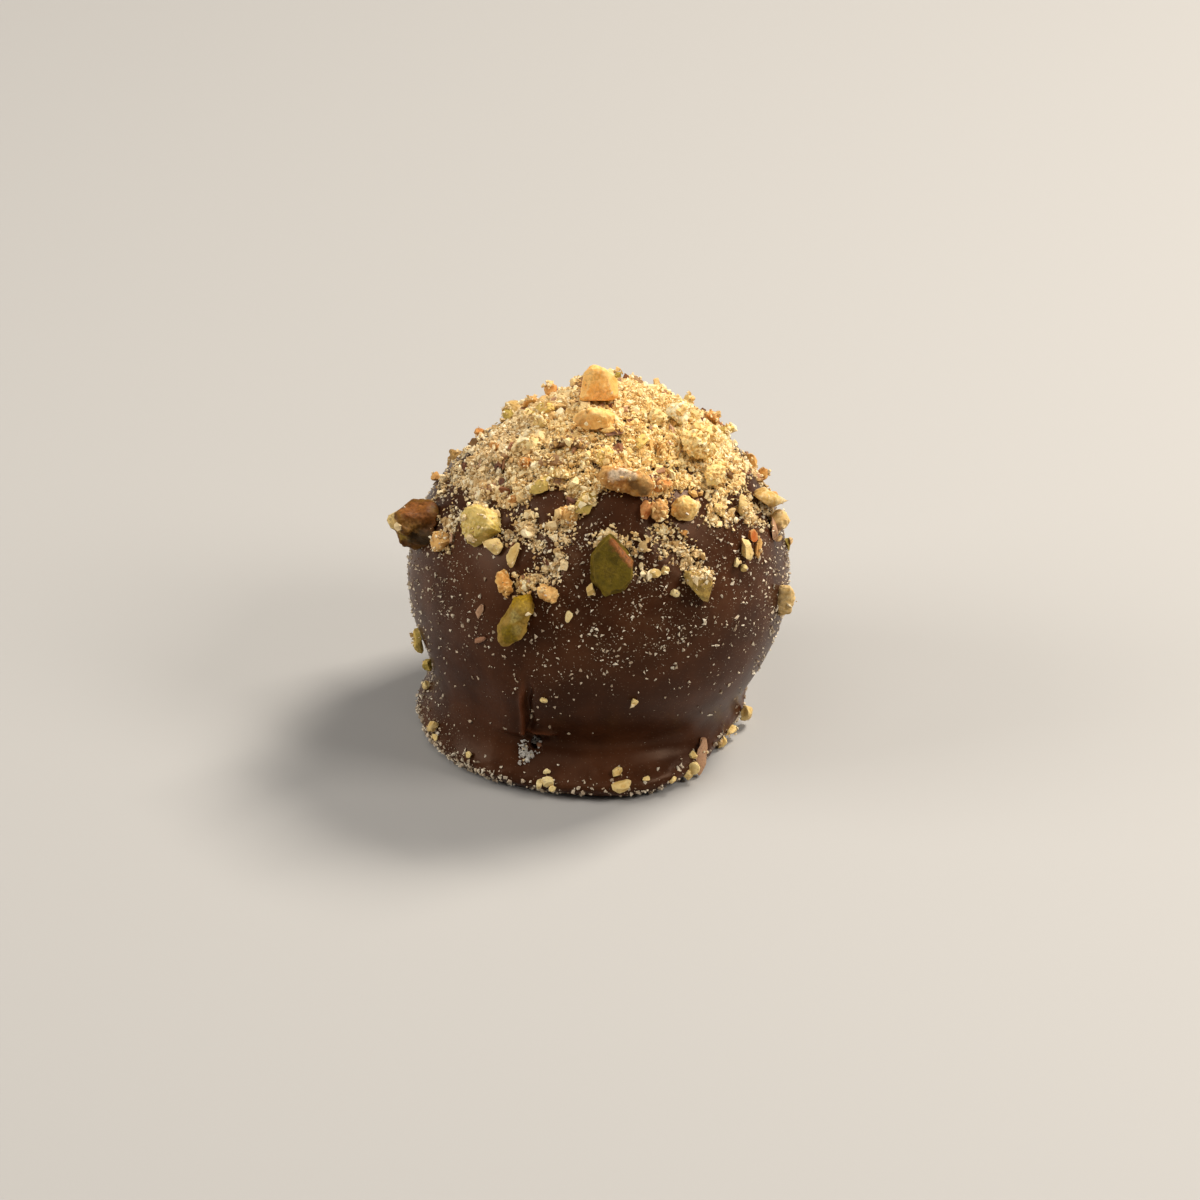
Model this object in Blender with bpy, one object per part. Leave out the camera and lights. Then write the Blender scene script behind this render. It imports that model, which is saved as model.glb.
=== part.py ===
"""A chocolate truffle: a ganache ball coated in milk chocolate, standing on the foot
that ran down from the coating, with chopped nuts stuck to its upper half.

+Z is up and the origin is on the flat base, under the middle of the ball.
The best side faces -Y. Azimuth 0 is that side, and it grows towards +X.
"""

import math
import random

import bmesh
import bpy
from mathutils import Matrix, Vector, noise
from mathutils.bvhtree import BVHTree

MM = 0.001

# The ball
BALL_RADIUS = 15.0 * MM
BALL_CENTRE = 12.9 * MM  # height of the ball's middle above the base
DOME_RISE = 14.8 * MM  # from the ball's middle to its top
BELLY_DROP = 15.0 * MM  # how far the ball would reach below its middle
DOME_POWER = 1.88  # under 2 the shoulders fall away towards a blunt point

# The foot, where the coating pooled: at each azimuth the reach of its rim, the radius
# of the neck above it, and the height over which the rim flares out from the neck
FOOT = (
    (-165, 13.4 * MM, 11.4 * MM, 1.6 * MM),
    (-120, 13.6 * MM, 11.9 * MM, 1.7 * MM),
    (-75, 14.5 * MM, 12.6 * MM, 2.0 * MM),
    (-42, 14.9 * MM, 12.5 * MM, 1.9 * MM),
    (-14, 14.8 * MM, 11.6 * MM, 1.4 * MM),
    (16, 14.9 * MM, 10.9 * MM, 1.3 * MM),
    (34, 13.4 * MM, 10.8 * MM, 1.4 * MM),
    (56, 11.7 * MM, 11.0 * MM, 1.5 * MM),
    (85, 11.6 * MM, 11.2 * MM, 1.6 * MM),
    (120, 12.4 * MM, 11.2 * MM, 1.6 * MM),
    (155, 13.3 * MM, 11.2 * MM, 1.5 * MM),
)
FLARE_POWER = 1.5
RIM_HEIGHT = 1.3 * MM  # where the foot is widest
RIM_TUCK = 1.2 * MM  # how far it draws in again below that
NECK_BLEND = 1.3 * MM

# The thick drape on the left of the front, which ends in a step
DRAPE_EDGE = -24.0  # azimuth of the step, in degrees
DRAPE_STEP = 0.75 * MM
DRAPE_STEP_WIDTH = 6.0  # degrees
DRAPE_SPAN = 30.0  # degrees over which the drape thins out again
DRAPE_LOW = 3.2 * MM  # the drape thins out below this, towards the rim
DRAPE_HIGH = 4.8 * MM  # and from here up
DRAPE_TOP = 8.0 * MM

# Mesh density of the ball
COLUMNS = 84
DOME_ROWS = 15
SKIRT_ROWS = 17
ROW_CROWDING = 1.5  # over 1 the rows lie closer together towards the foot

# Swellings and hollows of the ball: azimuth, elevation, spread in degrees, height
LUMPS = (
    (-80, 40, 30, -0.55 * MM),
    (-128, 48, 26, -0.85 * MM),
    (110, 32, 26, -0.25 * MM),
    (145, 62, 20, 0.30 * MM),
    (-26, 0, 18, 0.45 * MM),
    (30, 58, 20, 0.40 * MM),
    (-20, 60, 16, 0.20 * MM),
    (170, 12, 30, -0.35 * MM),
    (-150, -4, 24, 0.30 * MM),
)

SEAT_GAP = 0.3 * MM  # between a nut and the chocolate under it
LARGE_NUT = 3.0  # longer ones, in millimetres, are cut from a finer oval
OVAL_RADIUS = 1.12  # of the oval that a nut is cut from, over half its size
LUMPINESS = 0.2
WELD = 0.04  # slivers narrower than this share of the nut are closed

# The nuts: azimuth and elevation on the ball; length, width and height in millimetres;
# the turn of the length from level; the lean that lifts its far end; the lift of the
# middle above the chocolate, in millimetres; the bend of the length; and the knife cuts,
# each by its turn from the length, its rise and its depth over half the nut's size
NUTS = {
    "hazelnut_peak": dict(
        at=(10, 90.5), size=(3.6, 2.6, 3.5), turn=2, lift=1.0, seed=3,
        cuts=((-95, 20, 0.82), (35, 38, 0.62), (165, 12, 0.86), (95, 10, 0.85), (120, 75, 0.9)),
    ),
    "hazelnut_brow": dict(
        at=(-3, 76.5), size=(3.0, 2.0, 2.2), turn=-2, lift=0.65, seed=8,
        cuts=((-90, 15, 0.85), (50, 48, 0.72), (130, 40, 0.72), (-20, 5, 0.95)),
    ),
    "hazelnut_curl": dict(
        at=(12.5, 53), size=(4.5, 1.8, 2.2), turn=-24, lift=1.05, bend=-0.4, seed=5,
        cuts=((95, 30, 0.88), (180, 5, 0.9), (-90, 60, 0.9)),
    ),
    "walnut_left": dict(
        at=(-79, 20), size=(4.2, 3.7, 4.1), turn=170, lean=12, lift=1.15, seed=12,
        cuts=((55, 25, 0.72), (-60, 30, 0.7), (150, 10, 0.85), (-135, 20, 0.85), (100, 60, 0.8)),
    ),
    "pistachio_left": dict(
        at=(-47, 33.5), size=(3.8, 3.4, 2.2), turn=0, lift=0.6, seed=21,
        cuts=(
            (92, 12, 0.84), (38, 10, 0.86), (-35, 12, 0.76), (-118, 10, 0.86),
            (178, 8, 0.86), (-80, 72, 0.74),
        ),
    ),
    "pistachio_front": dict(
        at=(4.5, 28.5), size=(3.5, 4.5, 2.2), turn=0, lift=0.65, seed=33,
        cuts=(
            (180, 10, 0.88), (128, 8, 0.88), (48, 34, 0.7), (-8, 10, 0.93),
            (-50, 12, 0.9), (-78, 8, 0.88), (-125, 8, 0.9), (205, 80, 0.6),
        ),
    ),
    "pistachio_low": dict(
        at=(-24, 11), size=(4.2, 2.1, 1.9), turn=72, lift=0.6, bend=0.2, seed=40,
        cuts=((20, 5, 0.95), (-110, 50, 0.9)),
    ),
    "hazelnut_chip_left": dict(
        at=(-30, 20), size=(2.0, 1.2, 1.4), turn=-62, lift=0.5, seed=44,
        cuts=((90, 20, 0.8), (-90, 25, 0.8), (10, 10, 0.85)),
    ),
    "hazelnut_chip_right": dict(
        at=(-15.5, 19.5), size=(1.8, 1.4, 1.5), turn=-24, lift=0.5, seed=47,
        cuts=((100, 25, 0.8), (-80, 15, 0.85), (10, 30, 0.85)),
    ),
    "pistachio_leaf": dict(
        at=(34, 18), size=(3.5, 2.3, 1.6), turn=-66, lean=14, lift=0.95, seed=50,
        cuts=((38, 12, 0.62), (-38, 12, 0.62), (150, 10, 0.85), (-60, 70, 0.75)),
    ),
    "peanut_right": dict(
        at=(81.5, 27), size=(3.9, 1.6, 1.7), turn=-40, lean=12, lift=0.85, seed=55,
        cuts=((60, 15, 0.85),),
    ),
    "peanut_edge": dict(
        at=(80, 19.5), size=(1.5, 1.3, 1.3), turn=40, lift=0.65, seed=58,
        cuts=((70, 20, 0.85), (-100, 30, 0.85)),
    ),
    "peanut_lump": dict(
        at=(66, 56.5), size=(3.4, 2.7, 2.4), turn=8, lift=0.75, seed=61,
        cuts=((-60, 25, 0.86), (60, 35, 0.84), (170, 20, 0.9), (-150, 20, 0.88)),
    ),
    "peanut_half": dict(
        at=(59, 46.5), size=(2.3, 1.5, 1.6), turn=15, lift=0.65, bend=-0.2, seed=66,
        cuts=((90, 30, 0.85),),
    ),
    "almond_pale": dict(
        at=(84, 66), size=(2.2, 1.9, 1.7), turn=-30, lift=0.6, seed=70,
        cuts=((0, 25, 0.8), (80, 20, 0.8), (-70, 30, 0.82), (170, 15, 0.84)),
    ),
    "peanut_front": dict(
        at=(36.5, 41.5), size=(2.5, 1.8, 1.8), turn=-8, lift=0.6, seed=73,
        cuts=((35, 15, 0.75), (-35, 15, 0.8), (160, 20, 0.88)),
    ),
    "hazelnut_bead": dict(
        at=(25, 43), size=(1.6, 1.4, 1.5), turn=80, lift=0.55, seed=77,
        cuts=((-90, 20, 0.9), (120, 30, 0.9)),
    ),
    "peanut_low": dict(
        at=(71, -1), size=(2.5, 1.2, 1.3), turn=84, lift=0.5, seed=80,
        cuts=((-60, 15, 0.9),),
    ),
    "hazelnut_back": dict(
        at=(178, 37), size=(3.0, 2.3, 2.3), turn=24, lift=0.7, seed=84,
        cuts=((95, 30, 0.8), (-70, 15, 0.85), (10, 40, 0.8), (180, 10, 0.88)),
    ),
    "pistachio_back": dict(
        at=(139, 24), size=(3.0, 2.5, 1.9), turn=-35, lift=0.6, seed=88,
        cuts=((90, 12, 0.82), (-30, 15, 0.82), (-120, 12, 0.84), (60, 72, 0.76)),
    ),
    "peanut_back": dict(
        at=(-150, 31), size=(3.0, 1.7, 1.8), turn=38, lift=0.7, bend=-0.25, seed=91,
        cuts=((90, 35, 0.85), (185, 10, 0.9)),
    ),
    "almond_back": dict(
        at=(-169, 23), size=(2.3, 1.9, 1.8), turn=-20, lift=0.6, seed=95,
        cuts=((0, 25, 0.8), (85, 20, 0.8), (-80, 30, 0.82), (175, 15, 0.84)),
    ),
    "walnut_back": dict(
        at=(-134, 13), size=(2.9, 2.4, 2.3), turn=60, lift=0.75, seed=98,
        cuts=((50, 25, 0.74), (-65, 30, 0.74), (150, 10, 0.85), (-140, 20, 0.85)),
    ),
    "pistachio_tail": dict(
        at=(163, 14), size=(2.9, 1.6, 1.6), turn=70, lift=0.55, bend=0.2, seed=102,
        cuts=((20, 5, 0.92), (-110, 50, 0.88)),
    ),
}

# Colour and roughness of the chocolate and of each kind of nut
FINISHES = {
    "chocolate": ((0.068, 0.024, 0.012), 0.36),
    "hazelnut": ((0.62, 0.33, 0.12), 0.7),
    "walnut": ((0.23, 0.11, 0.035), 0.65),
    "pistachio": ((0.27, 0.24, 0.04), 0.6),
    "peanut": ((0.68, 0.47, 0.19), 0.6),
    "almond": ((0.82, 0.65, 0.33), 0.7),
}


def turn_between(a, b):
    """The turn from b to a, in degrees, the short way round."""
    return (a - b + 180) % 360 - 180


def swell(distance, spread):
    return math.exp(-((distance / spread) ** 2))


def smooth_step(low, high, value):
    t = min(1.0, max(0.0, (value - low) / (high - low)))
    return t * t * (3 - 2 * t)


def smooth_max(a, b, width):
    """The larger of a and b, with a fillet where they meet."""
    share = min(1.0, max(0.0, 0.5 + 0.5 * (a - b) / width))
    return b + (a - b) * share + width * share * (1 - share)


def direction(azimuth, elevation):
    turn, rise = math.radians(azimuth), math.radians(elevation)
    level = math.cos(rise)
    return Vector((math.sin(turn) * level, -math.cos(turn) * level, math.sin(rise)))


def lump_height(azimuth, elevation):
    heading = direction(azimuth, elevation)
    height = 0.0
    for lump_azimuth, lump_elevation, spread, lift in LUMPS:
        away = math.degrees(heading.angle(direction(lump_azimuth, lump_elevation)))
        height += lift * swell(away, spread)
    return height


def foot_at(azimuth):
    """Rim reach, neck radius and flare height, on a smooth closed curve through FOOT."""
    count = len(FOOT)
    for index, (start, *_) in enumerate(FOOT):
        span = (FOOT[(index + 1) % count][0] - start) % 360
        along = (azimuth - start) % 360 / span
        if along < 1:
            break
    before, here, there, after = (FOOT[(index + step) % count][1:] for step in (-1, 0, 1, 2))
    values = []
    for a, b, c, d in zip(before, here, there, after):
        slopes = (c - a) * along + (2 * a - 5 * b + 4 * c - d) * along**2
        values.append(b + 0.5 * (slopes + (3 * b - a - 3 * c + d) * along**3))
    return values


def dome_point(azimuth, polar):
    """A point of the upper half, polar degrees away from the top."""
    across = BALL_RADIUS * math.sin(math.radians(polar)) ** (2 / DOME_POWER)
    up = DOME_RISE * max(0.0, math.cos(math.radians(polar))) ** (2 / DOME_POWER)
    elevation = math.degrees(math.atan2(up, across))
    reach = math.hypot(across, up) + lump_height(azimuth, elevation)
    return Vector((0, 0, BALL_CENTRE)) + direction(azimuth, elevation) * reach


def belly_radius(azimuth, height):
    drop = BALL_CENTRE - height
    across = BALL_RADIUS * math.sqrt(1 - (drop / BELLY_DROP) ** 2)
    elevation = -math.degrees(math.atan2(drop, across))
    return across + lump_height(azimuth, elevation)


def skirt_radius(azimuth, height):
    reach, neck, flare = foot_at(azimuth)
    if height < RIM_HEIGHT:
        return reach - RIM_TUCK * (1 - height / RIM_HEIGHT) ** 2
    return neck + (reach - neck) * math.exp(-(((height - RIM_HEIGHT) / flare) ** FLARE_POWER))


def drape_thickness(azimuth, height):
    behind_edge = turn_between(DRAPE_EDGE, azimuth)
    step = smooth_step(-DRAPE_STEP_WIDTH / 2, DRAPE_STEP_WIDTH / 2, behind_edge)
    thinning = swell(max(0.0, behind_edge), DRAPE_SPAN)
    fade = smooth_step(RIM_HEIGHT, DRAPE_LOW, height) - smooth_step(DRAPE_HIGH, DRAPE_TOP, height)
    return DRAPE_STEP * step * thinning * fade


def skirt_point(azimuth, height):
    """A point of the lower half, where the ball flows into its foot."""
    belly = belly_radius(azimuth, height)
    radius = smooth_max(belly, skirt_radius(azimuth, height), NECK_BLEND)
    radius += drape_thickness(azimuth, height)
    point = direction(azimuth, 0) * radius
    point.z = height
    return point


def chocolate_mesh():
    """The coated ball and its foot, as rings of points from the top to the flat base."""
    mesh = bmesh.new()
    azimuths = [360 * column / COLUMNS for column in range(COLUMNS)]
    rings = []
    for row in range(1, DOME_ROWS):
        polar = 90 * row / DOME_ROWS
        rings.append([mesh.verts.new(dome_point(azimuth, polar)) for azimuth in azimuths])
    for row in range(SKIRT_ROWS + 1):
        height = BALL_CENTRE * (1 - row / SKIRT_ROWS) ** ROW_CROWDING
        rings.append([mesh.verts.new(skirt_point(azimuth, height)) for azimuth in azimuths])
    top = mesh.verts.new(dome_point(0, 0))
    for column in range(COLUMNS):
        after = (column + 1) % COLUMNS
        mesh.faces.new((top, rings[0][column], rings[0][after]))
        for upper, lower in zip(rings, rings[1:]):
            mesh.faces.new((upper[column], lower[column], lower[after], upper[after]))
    mesh.faces.new(list(reversed(rings[-1])))
    mesh.normal_update()
    return mesh


def cut_flat(mesh, point, normal):
    """Slices off what lies past a plane and closes the cut with a flat face."""
    everything = [*mesh.verts, *mesh.edges, *mesh.faces]
    cut = bmesh.ops.bisect_plane(
        mesh, geom=everything, plane_co=point, plane_no=normal, clear_outer=True
    )
    edges = [part for part in cut["geom_cut"] if isinstance(part, bmesh.types.BMEdge)]
    if edges:
        bmesh.ops.contextual_create(mesh, geom=edges)


def nut_mesh(size, cuts, seed, bend=0.0):
    """A chopped nut round the origin: a lumpy oval with flat cuts, then bent."""
    rng = random.Random(seed)
    shift = Vector((rng.uniform(0, 50), rng.uniform(0, 50), rng.uniform(0, 50)))
    mesh = bmesh.new()
    detail = 3 if max(size) > LARGE_NUT else 2
    bmesh.ops.create_icosphere(mesh, subdivisions=detail, radius=OVAL_RADIUS)
    for vertex in mesh.verts:
        vertex.co *= 1 + LUMPINESS * noise.noise(vertex.co * 1.3 + shift)
    for turn, rise, depth in cuts:
        normal = direction(turn + 90, rise)
        cut_flat(mesh, normal * depth, normal)
    bmesh.ops.remove_doubles(mesh, verts=mesh.verts, dist=WELD)
    bmesh.ops.triangulate(mesh, faces=mesh.faces)
    half = Vector(size) * MM / 2
    for vertex in mesh.verts:
        vertex.co.y += bend * (vertex.co.x**2 - 0.5)
        vertex.co = Vector([place * reach for place, reach in zip(vertex.co, half)])
    return mesh


def nut_place(ball, at, turn, lean, lift):
    """Where a nut sits on the ball, with its height along the surface's normal."""
    middle = Vector((0, 0, BALL_CENTRE))
    spot, out, _, _ = ball.ray_cast(middle, direction(*at))
    out = out if out.dot(spot - middle) > 0 else -out
    azimuth = math.radians(at[0])
    level = Vector((math.cos(azimuth), math.sin(azimuth), 0))
    level = (level - out * level.dot(out)).normalized()
    across = out.cross(level)
    axes = Matrix((level, across, out)).transposed().to_4x4()
    spin = Matrix.Rotation(math.radians(turn), 4, "Z") @ Matrix.Rotation(-math.radians(lean), 4, "Y")
    return Matrix.Translation(spot + out * lift * MM) @ axes @ spin


def seat(mesh, ball):
    """Moves what would be in the chocolate out to a thin gap above it."""
    middle = Vector((0, 0, BALL_CENTRE))
    for vertex in mesh.verts:
        away = vertex.co - middle
        spot, _, _, depth = ball.ray_cast(middle, away)
        if spot and away.length < depth + SEAT_GAP:
            vertex.co = middle + away.normalized() * (depth + SEAT_GAP)


def material(name, colour, roughness):
    made = bpy.data.materials.new(name)
    made.use_nodes = True
    shader = made.node_tree.nodes["Principled BSDF"]
    shader.inputs["Base Color"].default_value = (*colour, 1)
    shader.inputs["Roughness"].default_value = roughness
    shader.inputs["Metallic"].default_value = 0
    return made


def add_object(name, mesh, finish, sharp_angle):
    data = bpy.data.meshes.new(name)
    mesh.to_mesh(data)
    mesh.free()
    data.materials.append(finish)
    data.shade_smooth()
    data.set_sharp_from_angle(angle=math.radians(sharp_angle))
    made = bpy.data.objects.new(name, data)
    bpy.context.scene.collection.objects.link(made)


def build():
    for old in list(bpy.data.objects):
        bpy.data.objects.remove(old)
    finishes = {name: material(name, *look) for name, look in FINISHES.items()}

    truffle = chocolate_mesh()
    ball = BVHTree.FromBMesh(truffle)
    for name, nut in NUTS.items():
        mesh = nut_mesh(nut["size"], nut["cuts"], nut["seed"], nut.get("bend", 0))
        mesh.transform(nut_place(ball, nut["at"], nut["turn"], nut.get("lean", 0), nut["lift"]))
        seat(mesh, ball)
        mesh.normal_update()
        add_object(name, mesh, finishes[name.split("_")[0]], 35)
    add_object("truffle", truffle, finishes["chocolate"], 50)


build()
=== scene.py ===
import math
import random

import bmesh
import bpy
import numpy as np
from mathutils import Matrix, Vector, noise
from mathutils.bvhtree import BVHTree


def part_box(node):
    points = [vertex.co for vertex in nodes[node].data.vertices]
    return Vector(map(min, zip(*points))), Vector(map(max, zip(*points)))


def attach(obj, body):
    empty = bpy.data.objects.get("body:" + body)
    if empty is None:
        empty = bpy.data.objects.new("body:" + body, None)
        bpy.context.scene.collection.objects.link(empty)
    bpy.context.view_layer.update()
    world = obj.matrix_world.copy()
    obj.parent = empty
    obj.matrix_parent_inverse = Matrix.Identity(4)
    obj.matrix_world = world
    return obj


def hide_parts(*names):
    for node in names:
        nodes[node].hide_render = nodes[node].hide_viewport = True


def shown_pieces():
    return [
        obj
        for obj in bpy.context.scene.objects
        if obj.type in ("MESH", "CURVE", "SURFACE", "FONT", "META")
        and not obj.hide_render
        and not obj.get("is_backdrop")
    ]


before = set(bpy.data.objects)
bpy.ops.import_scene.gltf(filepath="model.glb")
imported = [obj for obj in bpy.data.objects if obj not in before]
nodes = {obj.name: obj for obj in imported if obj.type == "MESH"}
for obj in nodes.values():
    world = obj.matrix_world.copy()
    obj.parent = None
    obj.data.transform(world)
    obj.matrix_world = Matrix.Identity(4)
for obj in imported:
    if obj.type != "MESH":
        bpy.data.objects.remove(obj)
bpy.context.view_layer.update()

mm = 0.001
ballMiddle = np.array((0, 0, 12.9 * mm))  # places on the truffle are given as seen from here
print("frame loaded:", len(nodes), "CAD nodes")


# Places: azimuth 0 is the best side and grows to the right, elevation is from level

def heading(azimuth, elevation):
    turn, rise = np.radians(azimuth), np.radians(elevation)
    level = np.cos(rise)
    return np.stack((np.sin(turn) * level, -np.cos(turn) * level, np.sin(rise)), -1)


def placeOf(points):
    # azimuth, elevation and direction of points
    away = points - ballMiddle
    away = away / np.linalg.norm(away, axis=1)[:, None]
    azimuth = np.degrees(np.arctan2(away[:, 0], -away[:, 1]))
    return azimuth, np.degrees(np.arcsin(np.clip(away[:, 2], -1, 1))), away


def ease(low, high, value):
    share = np.clip((value - low) / (high - low), 0, 1)
    return share * share * (3 - 2 * share)


def band(value, start, full, fade, end):
    # 1 from full to fade, easing to 0 at start and at end
    return ease(start, full, value) * (1 - ease(fade, end, value))


def hump(away, spread, power=2):
    return np.exp(-np.abs(away / spread) ** power)


def noiseAt(points, grain, shift=0.0):
    # smooth noise from -1 to 1, with features of about that many millimetres
    scaled = points / (grain * mm) + shift
    return np.array([noise.noise(Vector(p)) for p in scaled])


def noiseSum(points, layers, start=0.0):
    # start plus some noises: amount, grain in millimetres, shift
    total = start
    for amount, grain, shift in layers:
        total = total + amount * noiseAt(points, grain, shift)
    return total


def noiseWays(points, grain, shifts):
    # a noise along each axis
    return np.stack([noiseAt(points, grain, shift) for shift in shifts], 1)


def spots(away, zones):
    # 0 to 1, near the zones: azimuth, elevation, spread in degrees, amount
    left = np.ones(len(away))
    for azimuth, elevation, spread, amount in zones:
        apart = np.degrees(np.arccos(np.clip(away @ heading(azimuth, elevation), -1, 1)))
        left *= 1 - amount * hump(apart, spread)
    return 1 - left


# Where the nut meal lies

mealMap = {
    # lower edge of the heap round the truffle: azimuth, elevation
    "heapEdge": (
        (-180, 42), (-155, 38), (-130, 42), (-108, 47), (-92, 42), (-80, 37), (-66, 37), (-52, 38),
        (-40, 41), (-31, 45), (-22, 51), (-12, 44), (-4, 45), (4, 50), (16, 50), (26, 45), (38, 46),
        (50, 45), (62, 41), (74, 37), (86, 35), (98, 38), (112, 42), (130, 36), (150, 43), (168, 40),
    ),
    "edgeFade": 9,
    # more meal below that edge: azimuth, elevation, spread in degrees, amount
    "clusters": (
        (-28, 38, 4.5, 0.95), (-35, 34, 4, 0.5), (-22, 33, 3.5, 0.4), (-16.5, 27, 3.8, 0.9),
        (-22, 23, 3, 0.7), (-25.5, 20.5, 2.4, 0.95), (-14, 41, 5, 0.6), (3.5, 36.5, 4, 0.9),
        (12, 33, 4.5, 0.6), (14, 26, 4, 0.4), (-11, 33, 5, 0.35), (27, 33, 5, 0.5), (32, 27, 4.5, 0.75),
        (35, 22, 3.5, 0.6), (24, 38, 4, 0.45), (48, 39, 6, 0.5), (58, 36, 6, 0.55), (71, 30, 6, 0.7),
        (82, 23, 5, 0.5), (-68, 27, 5.5, 0.8), (-62, 23, 3.5, 0.6), (-58, 34, 5, 0.45), (-90, 34, 9, 0.5),
        (100, 30, 8, 0.6), (118, 24, 6, 0.55), (143, 28, 7, 0.6), (152, 22, 5, 0.5), (172, 32, 6, 0.7),
        (-172, 24, 5, 0.6), (-158, 30, 6, 0.5), (-140, 31, 6, 0.7), (-128, 22, 5, 0.5), (-112, 38, 7, 0.5),
    ),
    # where the coat shows through the heap
    "bareSpots": (
        (-20, 47.5, 4.5, 0.95), (-29, 46.5, 2.5, 0.6), (7, 47, 4.5, 0.98), (15, 46, 4, 0.98),
        (23, 46, 2.5, 0.6), (46, 42, 3.5, 0.8), (53, 50, 2.5, 0.5), (74, 51, 2.5, 0.6), (-100, 54, 7, 0.5),
        (-62, 60, 3, 0.35), (-40, 66, 3, 0.3), (-112, 64, 7, 0.45), (134, 46, 5, 0.7), (-170, 49, 5, 0.8),
        (-150, 55, 4, 0.5), (105, 56, 4, 0.4),
    ),
    # loose specks over the sides
    "sprinkle": (
        (66, 12, 15, 0.85), (76, -4, 13, 0.75), (56, -2, 13, 0.55), (28, 12, 10, 0.9), (18, 8, 9, 0.75),
        (6, 10, 11, 0.65), (-4, 20, 12, 0.7), (22, 22, 12, 0.7), (-10, 6, 9, 0.4), (3, -2, 9, 0.25),
        (-58, 12, 16, 0.45), (-75, 5, 14, 0.6), (-84, -18, 12, 0.6), (-40, 5, 9, 0.45), (-10, 33, 14, 0.9),
        (-80, -36, 9, 0.85), (-64, -41, 8, 0.75), (-50, -44, 8, 0.5), (68, -14, 12, 0.45),
        (50, 32, 14, 0.7), (44, 16, 10, 0.45), (-15, -10, 7, 0.4), (94, 14, 16, 0.7), (122, 8, 16, 0.5),
        (160, 6, 18, 0.4), (-150, 10, 20, 0.5), (-112, 12, 18, 0.6), (140, -10, 16, 0.25),
    ),
    # where the meal is golden; elsewhere it is paler and greyer
    "golden": (
        (25, 70, 26, 0.95), (55, 58, 20, 0.85), (22, 52, 15, 0.8), (80, 50, 18, 0.6), (140, 62, 24, 0.7),
        (-20, 78, 14, 0.5), (-35, 52, 14, 0.35), (-25, 20, 5, 0.9), (-150, 58, 20, 0.4),
    ),
    # crumbs caught along the foot: azimuth, spread in degrees, amount
    "footLine": (
        (-75, 14, 1.0), (-60, 9, 0.8), (-48, 10, 0.9), (-36, 7, 0.6), (-16, 6, 0.7), (-4, 6, 0.35),
        (7, 4, 0.5), (16, 6, 0.35), (30, 6, 0.5), (38, 5, 0.6), (56, 6, 0.6), (76, 7, 0.6), (100, 12, 0.4),
        (135, 12, 0.5), (168, 14, 0.35), (-150, 14, 0.5), (-108, 14, 0.7),
    ),
}


def heapAmount(points):
    azimuth, elevation, away = placeOf(points)
    edgeAt, edge = zip(*mealMap["heapEdge"])
    low = np.interp(azimuth, edgeAt, edge, period=360)
    heap = ease(low - mealMap["edgeFade"] / 2, low + mealMap["edgeFade"], elevation)
    heap = 1 - (1 - heap) * (1 - spots(away, mealMap["clusters"]))
    return heap * (1 - spots(away, mealMap["bareSpots"]))


def footLineAmount(points):
    azimuth = placeOf(points)[0]
    amount = np.zeros(len(points))
    for middle, spread, share in mealMap["footLine"]:
        apart = (azimuth - middle + 180) % 360 - 180
        amount = np.maximum(amount, share * hump(apart, spread))
    height = points[:, 2] / mm
    return amount * hump(height - 0.9, 0.75)


# Meshes

def pointsOf(mesh):
    points = np.empty(len(mesh.vertices) * 3, np.float32)
    mesh.vertices.foreach_get("co", points)
    return points.reshape(-1, 3).astype(float)


def normalsOf(mesh):
    normals = np.empty(len(mesh.vertices) * 3, np.float32)
    mesh.vertex_normals.foreach_get("vector", normals)
    return normals.reshape(-1, 3).astype(float)


def setPoints(mesh, points):
    mesh.vertices.foreach_set("co", points.astype(np.float32).ravel())
    mesh.update()


def setValues(mesh, name, values):
    layer = mesh.attributes.get(name) or mesh.attributes.new(name, "FLOAT", "POINT")
    layer.data.foreach_set("value", np.asarray(values, np.float32))


def spreadOver(mesh, values, times):
    # each point takes the mean of its neighbours
    edges = np.empty(len(mesh.edges) * 2, np.int32)
    mesh.edges.foreach_get("vertices", edges)
    first, second = edges.reshape(-1, 2).T
    count = np.bincount(first, minlength=len(values)) + np.bincount(second, minlength=len(values))
    count = np.maximum(count, 1)
    for step in range(times):
        total = np.zeros_like(values)
        np.add.at(total, first, values[second])
        np.add.at(total, second, values[first])
        values = total / (count[:, None] if values.ndim > 1 else count)
    return values


def readValues(mesh, name):
    values = np.empty(len(mesh.vertices), np.float32)
    mesh.attributes[name].data.foreach_get("value", values)
    return values.astype(float)


def addObject(name, data):
    made = bpy.data.objects.new(name, data)
    bpy.context.scene.collection.objects.link(made)
    return made


def bmeshToObject(name, shape):
    mesh = bpy.data.meshes.new(name)
    shape.to_mesh(mesh)
    shape.free()
    return addObject(name, mesh)


def applyModifiers(thing):
    bpy.context.view_layer.update()
    graph = bpy.context.evaluated_depsgraph_get()
    mesh = bpy.data.meshes.new_from_object(thing.evaluated_get(graph))
    thing.modifiers.clear()
    thing.data = mesh
    mesh.name = thing.name
    return mesh


def mergedCopy(node):
    # a CAD node's mesh is loose triangles, so its corners are merged first
    shape = bmesh.new()
    shape.from_mesh(nodes[node].data)
    bmesh.ops.remove_doubles(shape, verts=shape.verts, dist=1e-6)
    return shape


def surfaceTree(mesh):
    shape = bmesh.new()
    shape.from_mesh(mesh)
    tree = BVHTree.FromBMesh(shape)
    shape.free()
    return tree


def depthAt(tree, away):
    # distance from the ball's middle to a surface, along each direction
    middle = Vector(ballMiddle)
    depths = np.zeros(len(away))
    for index, one in enumerate(away):
        depths[index] = tree.ray_cast(middle, Vector(one))[3] or 0
    return depths


# Node trees: arithmetic on a wire adds Math nodes

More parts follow.
